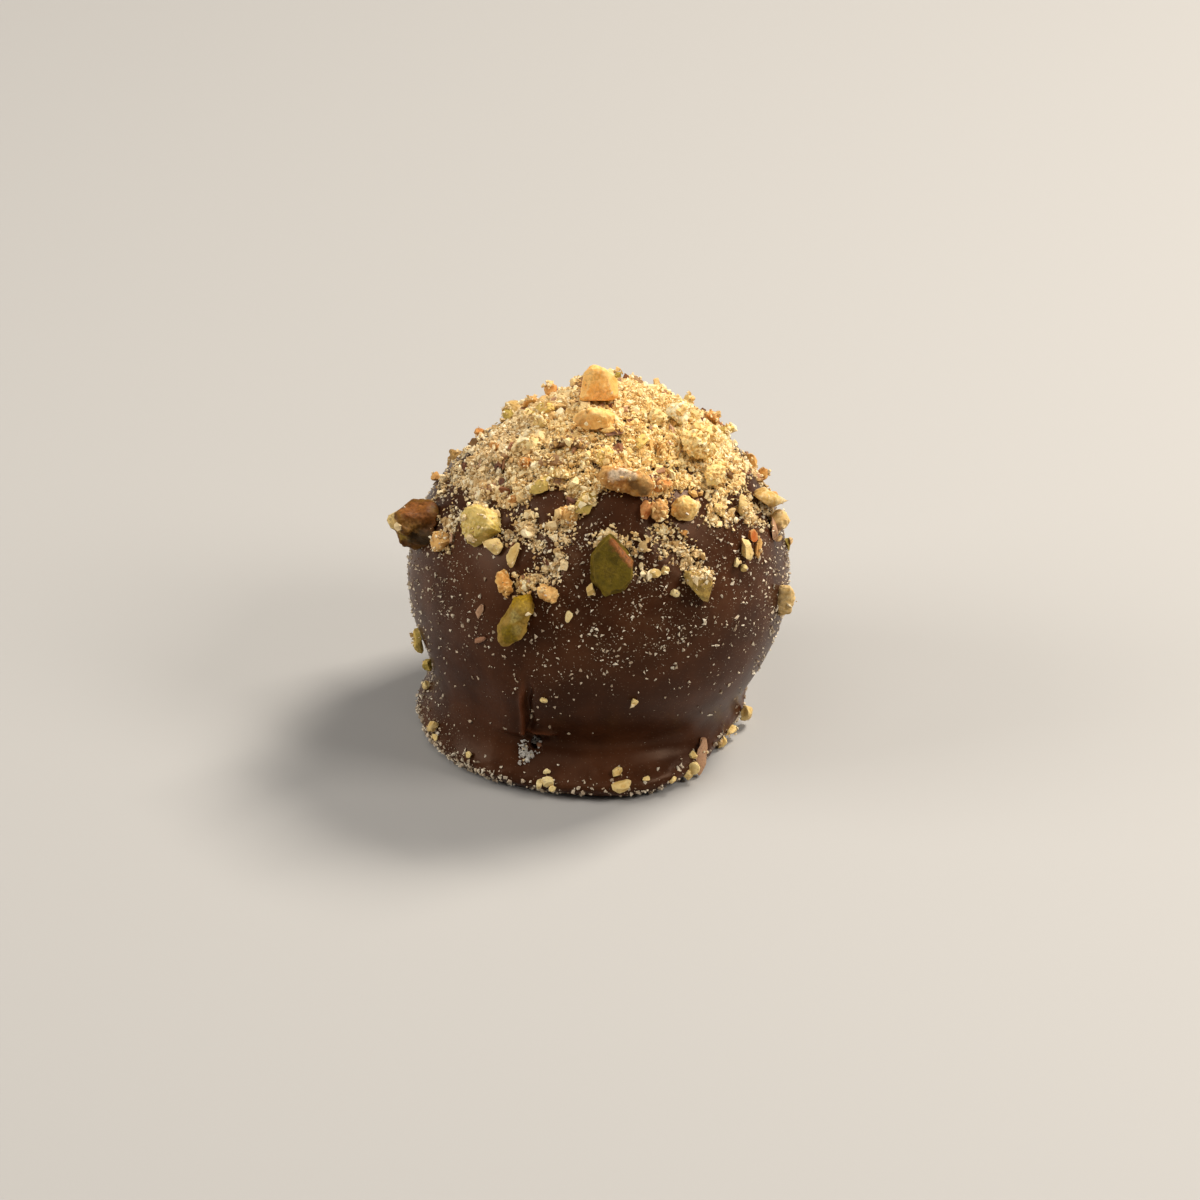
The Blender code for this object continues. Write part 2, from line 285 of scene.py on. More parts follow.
class Wire:
    def __init__(self, graph, socket):
        self.graph, self.socket = graph, socket

    def join(self, operation, first, second):
        return self.graph.wire("ShaderNodeMath", {"operation": operation}, [first, second])

    def __add__(self, other):
        return self.join("ADD", self, other)

    def __radd__(self, other):
        return self.join("ADD", other, self)

    def __sub__(self, other):
        return self.join("SUBTRACT", self, other)

    def __rsub__(self, other):
        return self.join("SUBTRACT", other, self)

    def __mul__(self, other):
        return self.join("MULTIPLY", self, other)

    def __pow__(self, other):
        return self.join("POWER", self, other)


class Graph:
    def __init__(self, tree):
        self.tree, self.made = tree, 0

    def node(self, kind, settings=None, inputs=None):
        node = self.tree.nodes.new(kind)
        node.location = (230 * (self.made % 10), -280 * (self.made // 10))
        self.made += 1
        for name, value in (settings or {}).items():
            if name == "stops":
                self.setStops(node.color_ramp, value)
            else:
                setattr(node, name, value)
        inputs = inputs.items() if isinstance(inputs, dict) else enumerate(inputs or [])
        for name, value in inputs:
            if isinstance(value, Wire):
                self.tree.links.new(value.socket, node.inputs[name])
            elif value is not None:
                node.inputs[name].default_value = value
        return node

    def wire(self, kind, settings=None, inputs=None, output=0):
        return Wire(self, self.node(kind, settings, inputs).outputs[output])

    def setStops(self, ramp, stops):
        while len(ramp.elements) < len(stops):
            ramp.elements.new(0.5)
        for element, (place, colour) in zip(ramp.elements, stops):
            element.position = place
            element.color = (*colour, 1)

    def ramp(self, factor, stops):
        return self.wire("ShaderNodeValToRGB", {"stops": stops}, [factor])

    def between(self, value, low, high):
        # 0 below low, 1 above high, eased between
        settings = {"interpolation_type": "SMOOTHSTEP"}
        return self.wire("ShaderNodeMapRange", settings, {0: value, 1: low, 2: high})

    def colours(self, factor, first, second, blend="MIX"):
        first, second = (c if isinstance(c, Wire) else (*c, 1) for c in (first, second))
        settings = {"data_type": "RGBA", "blend_type": blend}
        return self.wire("ShaderNodeMix", settings, {0: factor, 6: first, 7: second}, 2)

    def attribute(self, name):
        return self.wire("ShaderNodeAttribute", {"attribute_name": name}, output="Fac")

    def noise(self, place, grain, detail=2.0, roughness=0.5):
        # grain is the size of a feature in millimetres
        inputs = {"Vector": place, "Scale": 1 / (grain * mm), "Detail": detail, "Roughness": roughness}
        return self.wire("ShaderNodeTexNoise", None, inputs)

    def cells(self, place, grain, output="Distance"):
        inputs = {"Vector": place, "Scale": 1 / (grain * mm)}
        return self.wire("ShaderNodeTexVoronoi", None, inputs, output)


def startFinish(name, constants):
    material = bpy.data.materials.new(name)
    material.use_nodes = True
    material.node_tree.nodes.clear()
    graph = Graph(material.node_tree)
    shader = graph.node("ShaderNodeBsdfPrincipled", None, constants)
    graph.node("ShaderNodeOutputMaterial", None, {"Surface": Wire(graph, shader.outputs[0])})
    place = graph.wire("ShaderNodeTexCoord", output="Object")
    return material, graph, shader, place


def feed(graph, shader, colour, roughness, height, bumpDepth):
    graph.tree.links.new(colour.socket, shader.inputs["Base Color"])
    graph.tree.links.new(roughness.socket, shader.inputs["Roughness"])
    inputs = {"Strength": 1.0, "Distance": bumpDepth, "Height": height}
    normal = graph.wire("ShaderNodeBump", None, inputs)
    graph.tree.links.new(normal.socket, shader.inputs["Normal"])


# The chocolate coat

coatLook = {
    "brown": (0.065, 0.0215, 0.0084),
    "deep": (0.038, 0.012, 0.0048),
    "thin": (0.17, 0.048, 0.017),  # painted highlight: a lighter reddish band along the lip of the fold and of the drip edge
    "lipHighlightShare": 0.55,
    "dust": (0.30, 0.19, 0.105),  # nut flour rubbed into the coat
    "dustShare": 0.28,
    "mote": (0.62, 0.50, 0.34),  # single specks of the flour
    "moteShare": 0.7,
    "moteSize": 0.24,
    "roughness": 0.34,
    "shine": 0.18,
    "bumpDepth": 0.05,
    # relief in millimetres; ripples: amount, grain, shift
    "ripples": ((0.07, 4.2, 0.0), (0.025, 1.5, 7.0)),
    "footRipples": ((0.13, 1.3, 13.0), (0.07, 0.55, 17.0)),
    "heapSink": 0.50,  # how much lower the coat lies under the heap
    # the fold at the edge of the thick drape: azimuth, heights it runs between
    "foldAt": -25.0,
    "foldHeights": (4.1, 4.9, 8.4, 11.2),
    "foldLean": 0.5,  # degrees for each millimetre up
    "foldSway": 0.9,
    "foldStep": 0.28,
    "foldLip": 0.15,
    "foldGroove": 0.36,
    "ledgeAt": (-20.3, 4.85),  # azimuth and height of the drip edge right of the fold
    "ledgeReach": 5.0,  # degrees
    "ledgeSway": 0.18,
    "ledgeLip": 0.34,
    "ledgeGroove": 0.28,
    "pitAt": (-22.0, 3.65),
    "pitSize": 0.36,
    "pitDepth": 0.7,
    "pitRim": 0.10,
    "pitRagged": 0.16,
    "bubbleAt": (-2.0, 1.75),
    "bubbleSize": 0.62,
    "bubbleRim": 0.08,
    "bubbleDip": 0.05,
    # where the bend above the foot is softened, and how many times
    "softHeights": (1.5, 2.6, 6.5, 9.0),
    "softTimes": 34,
    "finerFaces": ((-36, -10, 0.6, 12.0), (-30, -15, 2.4, 11.4)),  # azimuths, heights
}


def foldPlace(points):
    # degrees past the fold, and where it runs
    azimuth, height = placeOf(points)[0], points[:, 2] / mm
    run = band(height, *coatLook["foldHeights"])
    lean = coatLook["foldSway"] * noiseAt(points, 1.6, 3.0) + coatLook["foldLean"] * (height - 5)
    return azimuth - coatLook["foldAt"] - lean, run


def ledgePlace(points):
    # where the drip edge runs, and millimetres above it
    azimuth, height = placeOf(points)[0], points[:, 2] / mm
    middle, level = coatLook["ledgeAt"]
    line = level + coatLook["ledgeSway"] * noiseAt(points, 1.1, 11.0)
    return hump(azimuth - middle, coatLook["ledgeReach"], 4), height - line


def coatRelief(points):
    # millimetres out of the coat's surface
    azimuth = placeOf(points)[0]
    height = points[:, 2] / mm
    reach = np.hypot(points[:, 0], points[:, 1]) / mm
    look = coatLook
    relief = noiseSum(points, look["ripples"])
    relief -= look["heapSink"] * ease(0.1, 0.8, heapAmount(points))

    past, run = foldPlace(points)
    # the drape is thick left of the fold and thins out further left
    relief += run * look["foldStep"] * (1 - ease(-0.3, 0.6, past)) * ease(-17, -2, past)
    relief += run * look["foldLip"] * hump(past + 0.4, 0.8)
    relief -= run * look["foldGroove"] * hump(past - 1.5, 1.1)
    width, rise = ledgePlace(points)
    relief += look["ledgeLip"] * width * hump(rise, 0.24)
    relief -= look["ledgeGroove"] * width * hump(rise + 0.55, 0.28)

    def apart(spot):
        across = np.radians(azimuth - spot[0]) * reach
        return np.hypot(across, height - spot[1])

    pit = apart(look["pitAt"]) + look["pitRagged"] * noiseAt(points, 0.5, 5.0)
    relief -= look["pitDepth"] * hump(pit, look["pitSize"], 4)
    rim = look["pitRim"] * hump(pit - 1.5 * look["pitSize"], 0.24)
    relief += rim * (0.6 + 1.0 * noiseAt(points, 0.5, 9.0))
    bubble = apart(look["bubbleAt"])
    relief += look["bubbleRim"] * hump(bubble - look["bubbleSize"], 0.16)
    relief -= look["bubbleDip"] * hump(bubble, 0.4)

    relief += hump(height - 1.0, 1.0) * noiseSum(points, look["footRipples"])
    return relief * ease(0.02, 0.35, height)  # the base stays flat


def refine(shape, left, right, low, high):
    # splits the faces between two azimuths and two heights
    shape.verts.ensure_lookup_table()
    shape.verts.index_update()
    points = np.array([v.co for v in shape.verts])
    azimuth, height = placeOf(points)[0], points[:, 2] / mm
    near = (azimuth > left) & (azimuth < right) & (height > low) & (height < high)
    edges = [e for e in shape.edges if near[e.verts[0].index] and near[e.verts[1].index]]
    bmesh.ops.subdivide_edges(shape, edges=edges, cuts=1, use_grid_fill=True, smooth=1.0)
    bmesh.ops.triangulate(shape, faces=[f for f in shape.faces if len(f.verts) > 4])


def makeCoat():
    shape = mergedCopy("truffle")
    bmesh.ops.join_triangles(
        shape, faces=shape.faces, angle_face_threshold=math.radians(50),
        angle_shape_threshold=math.radians(140),
    )
    crease = shape.edges.layers.float.new("crease_edge")
    for edge in shape.edges:  # the rim of the flat base stays sharp
        flat = [
            abs(face.normal.z) > 0.999 and face.calc_center_median().z < 1e-5 for face in edge.link_faces
        ]
        if any(flat) and not all(flat):
            edge[crease] = 1.0
    coat = bmeshToObject("chocolate_coat", shape)
    smooth = coat.modifiers.new("smooth", "SUBSURF")
    smooth.levels = smooth.render_levels = 2
    applyModifiers(coat)

    # finer faces where the fold, the ledge and the pit are
    shape = bmesh.new()
    shape.from_mesh(coat.data)
    for zone in coatLook["finerFaces"]:
        refine(shape, *zone)
    shape.to_mesh(coat.data)
    shape.free()

    # the coating ran, so the bend where the foot begins is soft
    points = pointsOf(coat.data)
    soft = band(points[:, 2] / mm, *coatLook["softHeights"])[:, None]
    points += (spreadOver(coat.data, points, coatLook["softTimes"]) - points) * soft
    setPoints(coat.data, points)
    past, run = foldPlace(points)
    width, rise = ledgePlace(points)
    # where the painted highlight lies: along the fold's lip and along the drip edge's lip
    thin = run * hump(past + 0.3, 0.6) + width * hump(rise + 0.05, 0.22)
    setValues(coat.data, "thin", np.clip(thin, 0, 1))
    setPoints(coat.data, points + normalsOf(coat.data) * (coatRelief(points) * mm)[:, None])
    coat.data.shade_smooth()
    return coat


def chocolateFinish():
    look = coatLook
    material, graph, shader, place = startFinish("milk chocolate", {
        "IOR": 1.46, "Specular IOR Level": look["shine"], "Specular Tint": (1.0, 0.66, 0.46, 1.0)})
    film, fine = graph.attribute("film"), graph.attribute("dusting")
    clouds = graph.noise(place, 3.5, 3)
    smear = graph.noise(place, 0.9, 4, 0.65)
    grit = graph.noise(place, 0.22, 3, 0.7)
    colour = graph.colours(graph.between(clouds, 0.35, 0.7), look["deep"], look["brown"])
    # the painted highlight along the lips
    colour = graph.colours(graph.attribute("thin") * look["lipHighlightShare"], colour, look["thin"])
    flour = film * graph.between(smear, 0.35, 0.75) * look["dustShare"]
    colour = graph.colours(flour, colour, look["dust"])
    motes = graph.cells(place, look["moteSize"])
    mote = (1 - graph.between(motes, 0.12, 0.24)) * graph.between(grit, 0.42, 0.55) * fine
    colour = graph.colours(mote * look["moteShare"], colour, look["mote"])
    rough = flour * 0.5 + smear * 0.10 + (look["roughness"] - 0.05) + mote * 0.3
    height = smear * 0.25 + grit * 0.12 + mote * 0.8
    feed(graph, shader, colour, rough, height, look["bumpDepth"] * mm)
    return material


coat = makeCoat()
coatTree = surfaceTree(coat.data)
print("chocolate coat:", len(coat.data.polygons), "faces")


# The crust: the packed part of the meal, built over the coat

crustLook = {
    "fineness": 6,  # how often its round start is divided
    "lowest": 12,  # degrees; no crust below
    "starts": (0.42, 0.80),  # heap amounts between which it reaches its thickness
    "thickness": 0.46,  # millimetres
    # noises: amount, grain, shift
    "ragged": ((0.30, 1.7, 21.0), (0.22, 0.75, 23.0)),
    "swell": ((0.5, 3.2, 25.0),),
    "lumps": ((0.40, 1.4, 27.0), (0.26, 0.62, 29.0)),
    "grain": 0.30,
    "coarser": 2.1,  # how much larger the second grain is
    "grainHeight": 0.24,
    "drift": 0.09,  # millimetres the grains lean sideways
    "buried": -0.10,  # the edge dives this far under the coat
}


def crustThickness(points):
    # millimetres above the coat, negative where there is no crust
    ragged = noiseSum(points, crustLook["ragged"], heapAmount(points))
    there = ease(*crustLook["starts"], ragged)
    swell = noiseSum(points, crustLook["swell"], 0.65)
    lumps = noiseSum(points, crustLook["lumps"])
    return there * (crustLook["thickness"] * swell + lumps) + crustLook["buried"], there


def grainRelief(points, size):
    # rounded cells, with a number from 0 to 1 for each
    height, tone = np.empty(len(points)), np.empty(len(points))
    for index, point in enumerate(points / (size * mm)):
        distances, centres = noise.voronoi(Vector(point))
        height[index] = min(1.0, distances[1] - distances[0])
        cell = centres[0]
        tone[index] = math.sin(cell.x * 12.9 + cell.y * 78.2 + cell.z * 37.7) * 43758.5 % 1
    return height, tone


def makeCrust():
    look = crustLook
    shape = bmesh.new()
    bmesh.ops.create_icosphere(shape, subdivisions=look["fineness"], radius=1)
    lowest = math.sin(math.radians(look["lowest"]))
    low = [face for face in shape.faces if max(v.co.z for v in face.verts) < lowest]
    bmesh.ops.delete(shape, geom=low, context="FACES")
    for step in range(2):
        bmesh.ops.subdivide_edges(shape, edges=shape.edges, cuts=1, use_grid_fill=True)
    away = np.array([v.co for v in shape.verts])
    away /= np.linalg.norm(away, axis=1)[:, None]
    points = ballMiddle + away * depthAt(coatTree, away)[:, None]
    height, there = crustThickness(points)
    cells, tone = grainRelief(points, look["grain"])
    coarse = grainRelief(points, look["coarser"] * look["grain"])[0]
    height += there * look["grainHeight"] * (0.9 * cells + 0.8 * coarse - 0.45)
    drift = noiseWays(points, 0.5, (31.0, 37.0, 41.0)) * look["drift"] * mm
    points += away * (height * mm)[:, None] + drift * there[:, None]
    for vertex, point in zip(shape.verts, points):
        vertex.co = point
    hidden = [face for face in shape.faces if all(height[v.index] < -0.05 for v in face.verts)]
    setTone = shape.verts.layers.float.new("tone")
    setHeight = shape.verts.layers.float.new("rise")
    for vertex in shape.verts:
        vertex[setTone] = tone[vertex.index]
        vertex[setHeight] = height[vertex.index]
    bmesh.ops.delete(shape, geom=hidden, context="FACES")
    loose = [vertex for vertex in shape.verts if not vertex.link_faces]
    bmesh.ops.delete(shape, geom=loose, context="VERTS")
    crust = bmeshToObject("meal_crust", shape)
    crust.data.shade_smooth()
    height = readValues(crust.data, "rise")
    setValues(crust.data, "crest", ease(-0.16, 0.14, height - spreadOver(crust.data, height, 14)))
    return crust


crust = makeCrust()
print("meal crust:", len(crust.data.polygons), "faces")


# The chopped nuts that the CAD model has

def turnedAxes(away):
    # to the right, up along the surface and outward, at one place
    right = np.array((-away[1], away[0], 0.0))
    if away[2] > 0.99:  # on top, right is +X and up is away from the best side
        right = np.array((1.0, 0.0, 0.0))
    right -= away * (right @ away)
    right /= np.linalg.norm(right)
    return np.stack((right, np.cross(away, right), away))


def unit(way):
    return np.array(way) / np.linalg.norm(way)


# flesh: darker and lighter tone; edge: tone of worn corners; relief: millimetres and its grain.
# Places and directions on a nut are right, up and outward from its middle, in millimetres.
# cuts: a direction and how far out it is cut flat; dents: place, reach and depth, negative for
# a swelling; patches: place, reach, tone, strength; crumble: how deep and how wide the lumps
# it broke into are; crumbs: how much meal lies on it, crumbsAbove: and only above this height
# Some patches are painted highlights and painted shade; they are marked where they stand.
nutLooks = {
    "hazelnut_peak": dict(
        flesh=((0.894, 0.432, 0.092), (0.967, 0.583, 0.184)), edge=(0.967, 0.67, 0.292),
        relief=(0.05, 0.5), crumble=(0.05, 0.45), crumbs=0.02,
        cuts=(
            ((0.1, -0.93, 0.34), 1.15), ((0.64, -0.62, 0.45), 1.25), ((-0.65, -0.57, 0.5), 1.15),
            ((-0.58, 0.39, 0.71), 1.36), ((0.49, 0.42, 0.77), 1.5), ((-0.98, 0.08, 0.15), 1.13),
            ((1, 0.02, 0.04), 1.62), ((-0, -0.48, -0.88), 1.2),
        ),
        dents=(((0.18, 0.71, 1.31), 0.7, -0.42),),
        patches=(
            ((0.3, -1.2, -0.7), 1, (0.832, 0.356, 0.076), 0.6),
            ((-0.5, -0.9, 1.1), 0.7, (0.957, 0.605, 0.194), 0.5),
        ),
    ),
    "hazelnut_brow": dict(
        flesh=((0.874, 0.424, 0.1), (0.985, 0.615, 0.21)), edge=(0.985, 0.721, 0.336), relief=(0.06, 0.5),
        crumble=(0.05, 0.5), crumbs=0.08,
        cuts=(((0, -0.95, 0.2), 0.75), ((0.5, 0.3, 0.8), 0.95), ((-0.7, -0.1, 0.6), 1.1)),
        patches=(
            ((-1.1, -0.6, 0.2), 0.6, (0.624, 0.276, 0.063), 0.6),
            ((0.9, -0.5, 0.4), 0.7, (0.967, 0.583, 0.168), 0.5),
            ((0.1, 0.6, 0.8), 0.7, (0.915, 0.657, 0.357), 0.5),
        ),
    ),
    "hazelnut_curl": dict(
        flesh=((0.399, 0.155, 0.03), (0.589, 0.284, 0.063)), edge=(0.76, 0.473, 0.185), relief=(0.07, 0.5),
        crumble=(0.04, 0.45), crumbs=0.15,
        dents=(
            ((0.2, -1.15, 0.5), 0.65, 0.45), ((-1.4, 0.5, 0.8), 0.6, -0.2), ((1.5, 0.1, 0.9), 0.5, -0.12),
            ((0.61, -0.89, 0.97), 0.42, 0.28),
        ),
        patches=(
            ((-1.77, 0.5, 0.5), 0.6, (0.66, 0.36, 0.11), 0.85),
            ((-1.4, -0.41, 0.63), 0.5, (0.47, 0.19, 0.04), 0.85),
            ((-0.6, -0.67, 0.8), 0.55, (0.38, 0.145, 0.028), 0.85),
            ((-1.03, 0.09, 0.93), 0.52, (0.96, 0.78, 0.55), 0.8),
            ((-0.37, 0.12, 1.08), 0.55, (0.96, 0.78, 0.55), 0.8),
            ((0.33, -0.12, 1.13), 0.48, (0.85, 0.65, 0.42), 0.75),
            # painted shade on the underside
            ((0.38, -1.06, 0.74), 0.75, (0.15, 0.068, 0.018), 0.85),
            ((0.91, -1.58, 0.52), 0.8, (0.15, 0.08, 0.025), 0.85),
            ((1.86, -1.09, 0.6), 0.55, (0.55, 0.28, 0.08), 0.85),
            ((1.31, -0.6, 0.91), 0.5, (0.58, 0.33, 0.11), 0.75),
            # painted highlight: a thin pale edge along the bottom
            ((-1.13, -0.85, 0.39), 0.28, (0.78, 0.52, 0.2), 0.7),
        ),
    ),
    "hazelnut_chip_left": dict(
        flesh=((0.53, 0.23, 0.045), (0.7, 0.4, 0.115)), edge=(0.78, 0.52, 0.21), relief=(0.08, 0.4),
        crumble=(0.14, 0.6), crumbs=0.9,
        cuts=(((0.1, 0.39, 0.91), 0.6), ((0.97, -0.05, 0.23), 0.6)),
    ),
    "hazelnut_chip_right": dict(
        flesh=((0.55, 0.26, 0.065), (0.72, 0.43, 0.15)), edge=(0.78, 0.52, 0.21), relief=(0.08, 0.4),
        crumble=(0.14, 0.6), crumbs=0.9,
        cuts=(((0.32, 0.6, 0.73), 0.6),),
    ),
    "hazelnut_bead": dict(
        flesh=((0.512, 0.241, 0.065), (0.656, 0.362, 0.125)), edge=(0.704, 0.442, 0.18),
        relief=(0.08, 0.35), crumble=(0.12, 0.5), crumbs=0.6,
    ),
    "hazelnut_back": dict(
        flesh=((0.666, 0.312, 0.072), (0.792, 0.452, 0.132)), edge=(0.828, 0.546, 0.209),
        relief=(0.08, 0.5), crumble=(0.06, 0.4),
        cuts=(((-0.5, 0.3, 0.85), 0.85), ((0.7, -0.4, 0.6), 1)),
        patches=(((-0.7, 0.8, 0.6), 0.8, (0.27, 0.101, 0.028), 0.9),),
    ),
    "walnut_left": dict(
        flesh=((0.099, 0.035, 0.0033), (0.159, 0.067, 0.0079)), edge=(0.19, 0.085, 0.011),
        relief=(0.12, 0.9), crumble=(0.05, 0.5), crumbs=0.08,
        cuts=(((-0.48, 0.41, 0.77), 1.5),),
        dents=(
            ((1.8, -0.1, 0.3), 0.6, 0.75), ((1.5, 0.5, -0.8), 0.5, 0.5), ((0.8, 1.9, 0.7), 0.55, 0.6),
            ((1.2, -1.3, 1.1), 0.55, 0.55), ((-0.02, -0.73, 2.19), 0.75, -0.95),
            ((0.95, 0.52, 1.17), 0.4, 0.35), ((0.47, -1.47, 1.51), 0.45, 0.35),
            ((0.46, 1.51, -0.92), 0.5, -0.2),
        ),
        patches=(
            ((0.9, 1.5, -0.5), 1.5, (0.16, 0.055, 0.01), 0.9),
            ((0.56, 1.38, 0.52), 1.25, (0.235, 0.082, 0.017), 0.95),
            # painted highlights: orange glints on the skin at the top
            ((0.05, 1.06, 1.35), 0.5, (0.33, 0.14, 0.035), 0.8),
            ((0.36, 1.64, 0.12), 0.42, (0.34, 0.13, 0.025), 0.8),
            # painted shade in the crevices at the dents
            ((1.65, -0.24, -0.38), 1.05, (0.05, 0.026, 0.006), 0.95),
            ((0.87, 0.65, -0.95), 0.5, (0.045, 0.023, 0.006), 0.9),
            ((1.6, 0.29, 0.64), 0.7, (0.22, 0.108, 0.022), 0.9),
            ((0.51, 1.34, -0.85), 0.6, (0.2, 0.12, 0.022), 0.9),
            ((1.1, -1.17, 1), 0.65, (0.25, 0.155, 0.02), 0.9),
            ((1.44, -1.35, 0.32), 0.55, (0.06, 0.038, 0.004), 0.85),
            ((0.86, -0.36, 1.58), 0.75, (0.5, 0.3, 0.085), 0.95),
            ((0.05, -0.18, 1.94), 0.85, (0.74, 0.54, 0.22), 0.97),
        ),
    ),
    "walnut_back": dict(
        flesh=((0.216, 0.106, 0.025), (0.36, 0.206, 0.059)), edge=(0.432, 0.264, 0.095),
        relief=(0.13, 0.8), crumble=(0.09, 0.5),
        dents=(((0.2, 0.4, 1.1), 0.5, 0.35), ((-0.6, -0.5, 1), 0.4, 0.25)),
        patches=(
            ((-0.4, 0.9, 0.6), 0.9, (0.144, 0.048, 0.0123), 0.95),
            # painted shade in the dent
            ((0.2, 0.4, 1), 0.35, (0.042, 0.0144, 0.0042), 0.8),
        ),
    ),
    "pistachio_left": dict(
        flesh=((0.538, 0.375, 0.086), (0.753, 0.543, 0.173)), edge=(0.8, 0.65, 0.3), relief=(0.09, 0.35),
        crumble=(0.11, 0.38), crumbs=0.9,
        cuts=(
            ((0.05, 0.2, 1), 0.95), ((0.72, -0.65, 0.1), 1.2), ((-0.8, -0.45, 0.1), 1.25),
            ((-0.1, 1, 0.2), 1.35),
        ),
        patches=(
            ((0.7, -0.7, 1), 0.9, (0.509, 0.356, 0.051), 0.5),
            ((1.7, 0, 0), 0.7, (0.43, 0.295, 0.028), 0.7),
        ),
    ),
    "pistachio_front": dict(
        flesh=((0.066, 0.043, 0.0008), (0.115, 0.077, 0.0016)), edge=(0.209, 0.134, 0.012),
        relief=(0.035, 0.6), crumbs=0.01,
        cuts=(((0, 0.05, 1), 0.55), ((0.74, 0.6, 0.35), 1.4)),
        dents=(
            ((-0.65, -2.1, 0.2), 0.4, -0.3), ((0.15, -2.2, 0.3), 0.34, 0.42), ((-0.2, 0.3, 0.9), 0.7, 0.1),
        ),
        patches=(
            ((0.3, 1.9, 0.4), 0.5, (0.255, 0.086, 0.019), 1),
            ((0.62, 1.45, 0.5), 0.52, (0.272, 0.094, 0.021), 1),
            ((1, 1, 0.5), 0.5, (0.281, 0.098, 0.022), 1),
            ((1.3, 0.55, 0.45), 0.48, (0.264, 0.09, 0.02), 1),
            ((1.6, 0.15, 0.4), 0.45, (0.289, 0.109, 0.027), 1),
            ((-0.5, -0.3, 0.9), 0.8, (0.157, 0.1, 0.003), 0.5),
        ),
    ),
    "pistachio_low": dict(
        flesh=((0.236, 0.139, 0.0144), (0.348, 0.207, 0.03)), edge=(0.397, 0.247, 0.054),
        relief=(0.05, 0.5), crumble=(0.05, 0.5), crumbs=0.1,
        dents=(
            ((0.89, 0.08, -0.16), 0.5, 0.85), ((-0.95, 0.59, 0.4), 0.45, 0.3),
            ((0.25, 0.48, 0.86), 0.42, 0.24), ((0.05, -0.62, 0.89), 0.8, -0.12),
        ),
        patches=(
            ((0.26, 1.95, -0.03), 0.95, (0.42, 0.25, 0.004), 0.92),
            ((0.64, 1.33, 0.39), 0.55, (0.45, 0.3, 0.045), 0.8),
            ((0.24, 0.51, 0.85), 0.5, (0.44, 0.34, 0.1), 0.8),
            ((-0.11, -0.65, 1.2), 0.7, (0.21, 0.14, 0.002), 0.92),
            ((0.16, -1.31, 0.99), 0.6, (0.19, 0.125, 0.002), 0.9),
            ((0.5, -0.48, 0.77), 0.45, (0.38, 0.29, 0.08), 0.75),
        ),
    ),
    "pistachio_leaf": dict(
        flesh=((0.33, 0.205, 0.045), (0.46, 0.3, 0.08)), edge=(0.58, 0.43, 0.17), relief=(0.07, 0.35),
        crumble=(0.1, 0.45), crumbs=2.4, crumbsAbove=-0.5,
        cuts=(
            ((0.73, -0.43, 0.53), 0.71), ((-0.8, -0.5, -0.32), 0.79), ((0.86, -0.08, 0.51), 0.76),
            ((0, 0, 1), 0.6),
        ),
        patches=(
            ((-0.59, -0.4, 0.71), 0.8, (0.42, 0.275, 0.062), 0.8),
            ((-0.79, -0.41, 0.13), 0.3, (0.5, 0.41, 0.15), 0.8),
            ((-0.59, -0.92, 0.38), 0.28, (0.5, 0.4, 0.14), 0.8),
            ((-0.45, -0.28, 0.76), 0.2, (0.12, 0.065, 0.015), 0.95),
            ((-0.33, -0.67, 0.81), 0.2, (0.12, 0.065, 0.015), 0.95),
            ((-0.63, -0.04, 0.6), 0.2, (0.13, 0.07, 0.016), 0.95),
            ((-0.19, -0.27, 0.79), 0.17, (0.7, 0.55, 0.25), 0.9),
            ((0.19, -0.29, 0.77), 0.25, (0.22, 0.13, 0.04), 0.75),
            ((-0.32, -1.22, 0.6), 0.22, (0.3, 0.17, 0.04), 0.8),
        ),
    ),
    "pistachio_back": dict(
        flesh=((0.12, 0.078, 0.0036), (0.216, 0.143, 0.015)), edge=(0.336, 0.23, 0.054),
        relief=(0.05, 0.5),
        cuts=(((0.1, 0.1, 1), 0.8),),
        patches=(
            ((-0.9, 0.8, 0.5), 0.5, (0.324, 0.115, 0.036), 1),
            ((-1.1, 0.2, 0.4), 0.45, (0.324, 0.115, 0.036), 1),
        ),
    ),
    "pistachio_tail": dict(
        flesh=((0.251, 0.16, 0.021), (0.37, 0.24, 0.045)), edge=(0.422, 0.285, 0.084), relief=(0.05, 0.5),
        patches=(((-0.3, -1.1, 0.4), 0.5, (0.145, 0.105, 0.006), 0.9),),
    ),
    "peanut_right": dict(
        flesh=((0.52, 0.285, 0.06), (0.7, 0.44, 0.13)), edge=(0.82, 0.65, 0.36), relief=(0.04, 0.9),
        crumble=(0.03, 0.6), crumbs=0.12,
        cuts=(((0.49, 0.49, 0.72), 0.45), ((-0.38, -0.92, 0.06), 0.54), ((-0.47, -0.4, -0.78), 0.62)),
        dents=(((0.31, 1.26, -0.62), 0.7, -0.45),),
        patches=(
            # painted highlights on the tip and along the top ridge
            ((-0.09, -0.15, 0.83), 0.6, (0.84, 0.66, 0.36), 0.9),
            ((-0.16, 0.75, 0.25), 0.5, (0.82, 0.62, 0.3), 0.75),
            # painted shade along the bottom
            ((-0.87, 0.08, -0.24), 0.6, (0.36, 0.18, 0.04), 0.8),
            ((-0.45, 1.02, -0.8), 0.5, (0.46, 0.25, 0.06), 0.6),
        ),
    ),
    "peanut_edge": dict(
        flesh=((0.55, 0.34, 0.11), (0.68, 0.46, 0.18)), edge=(0.78, 0.6, 0.32), relief=(0.06, 0.4),
        crumble=(0.05, 0.5), crumbs=0.25,
        dents=(((0.34, 0.67, 0.07), 0.6, -0.4), ((-0.22, -0.58, 0.14), 0.6, 0.3)),
        patches=(((-0.67, -0.21, -0.31), 0.6, (0.36, 0.19, 0.1), 0.85),),
    ),
    "peanut_lump": dict(
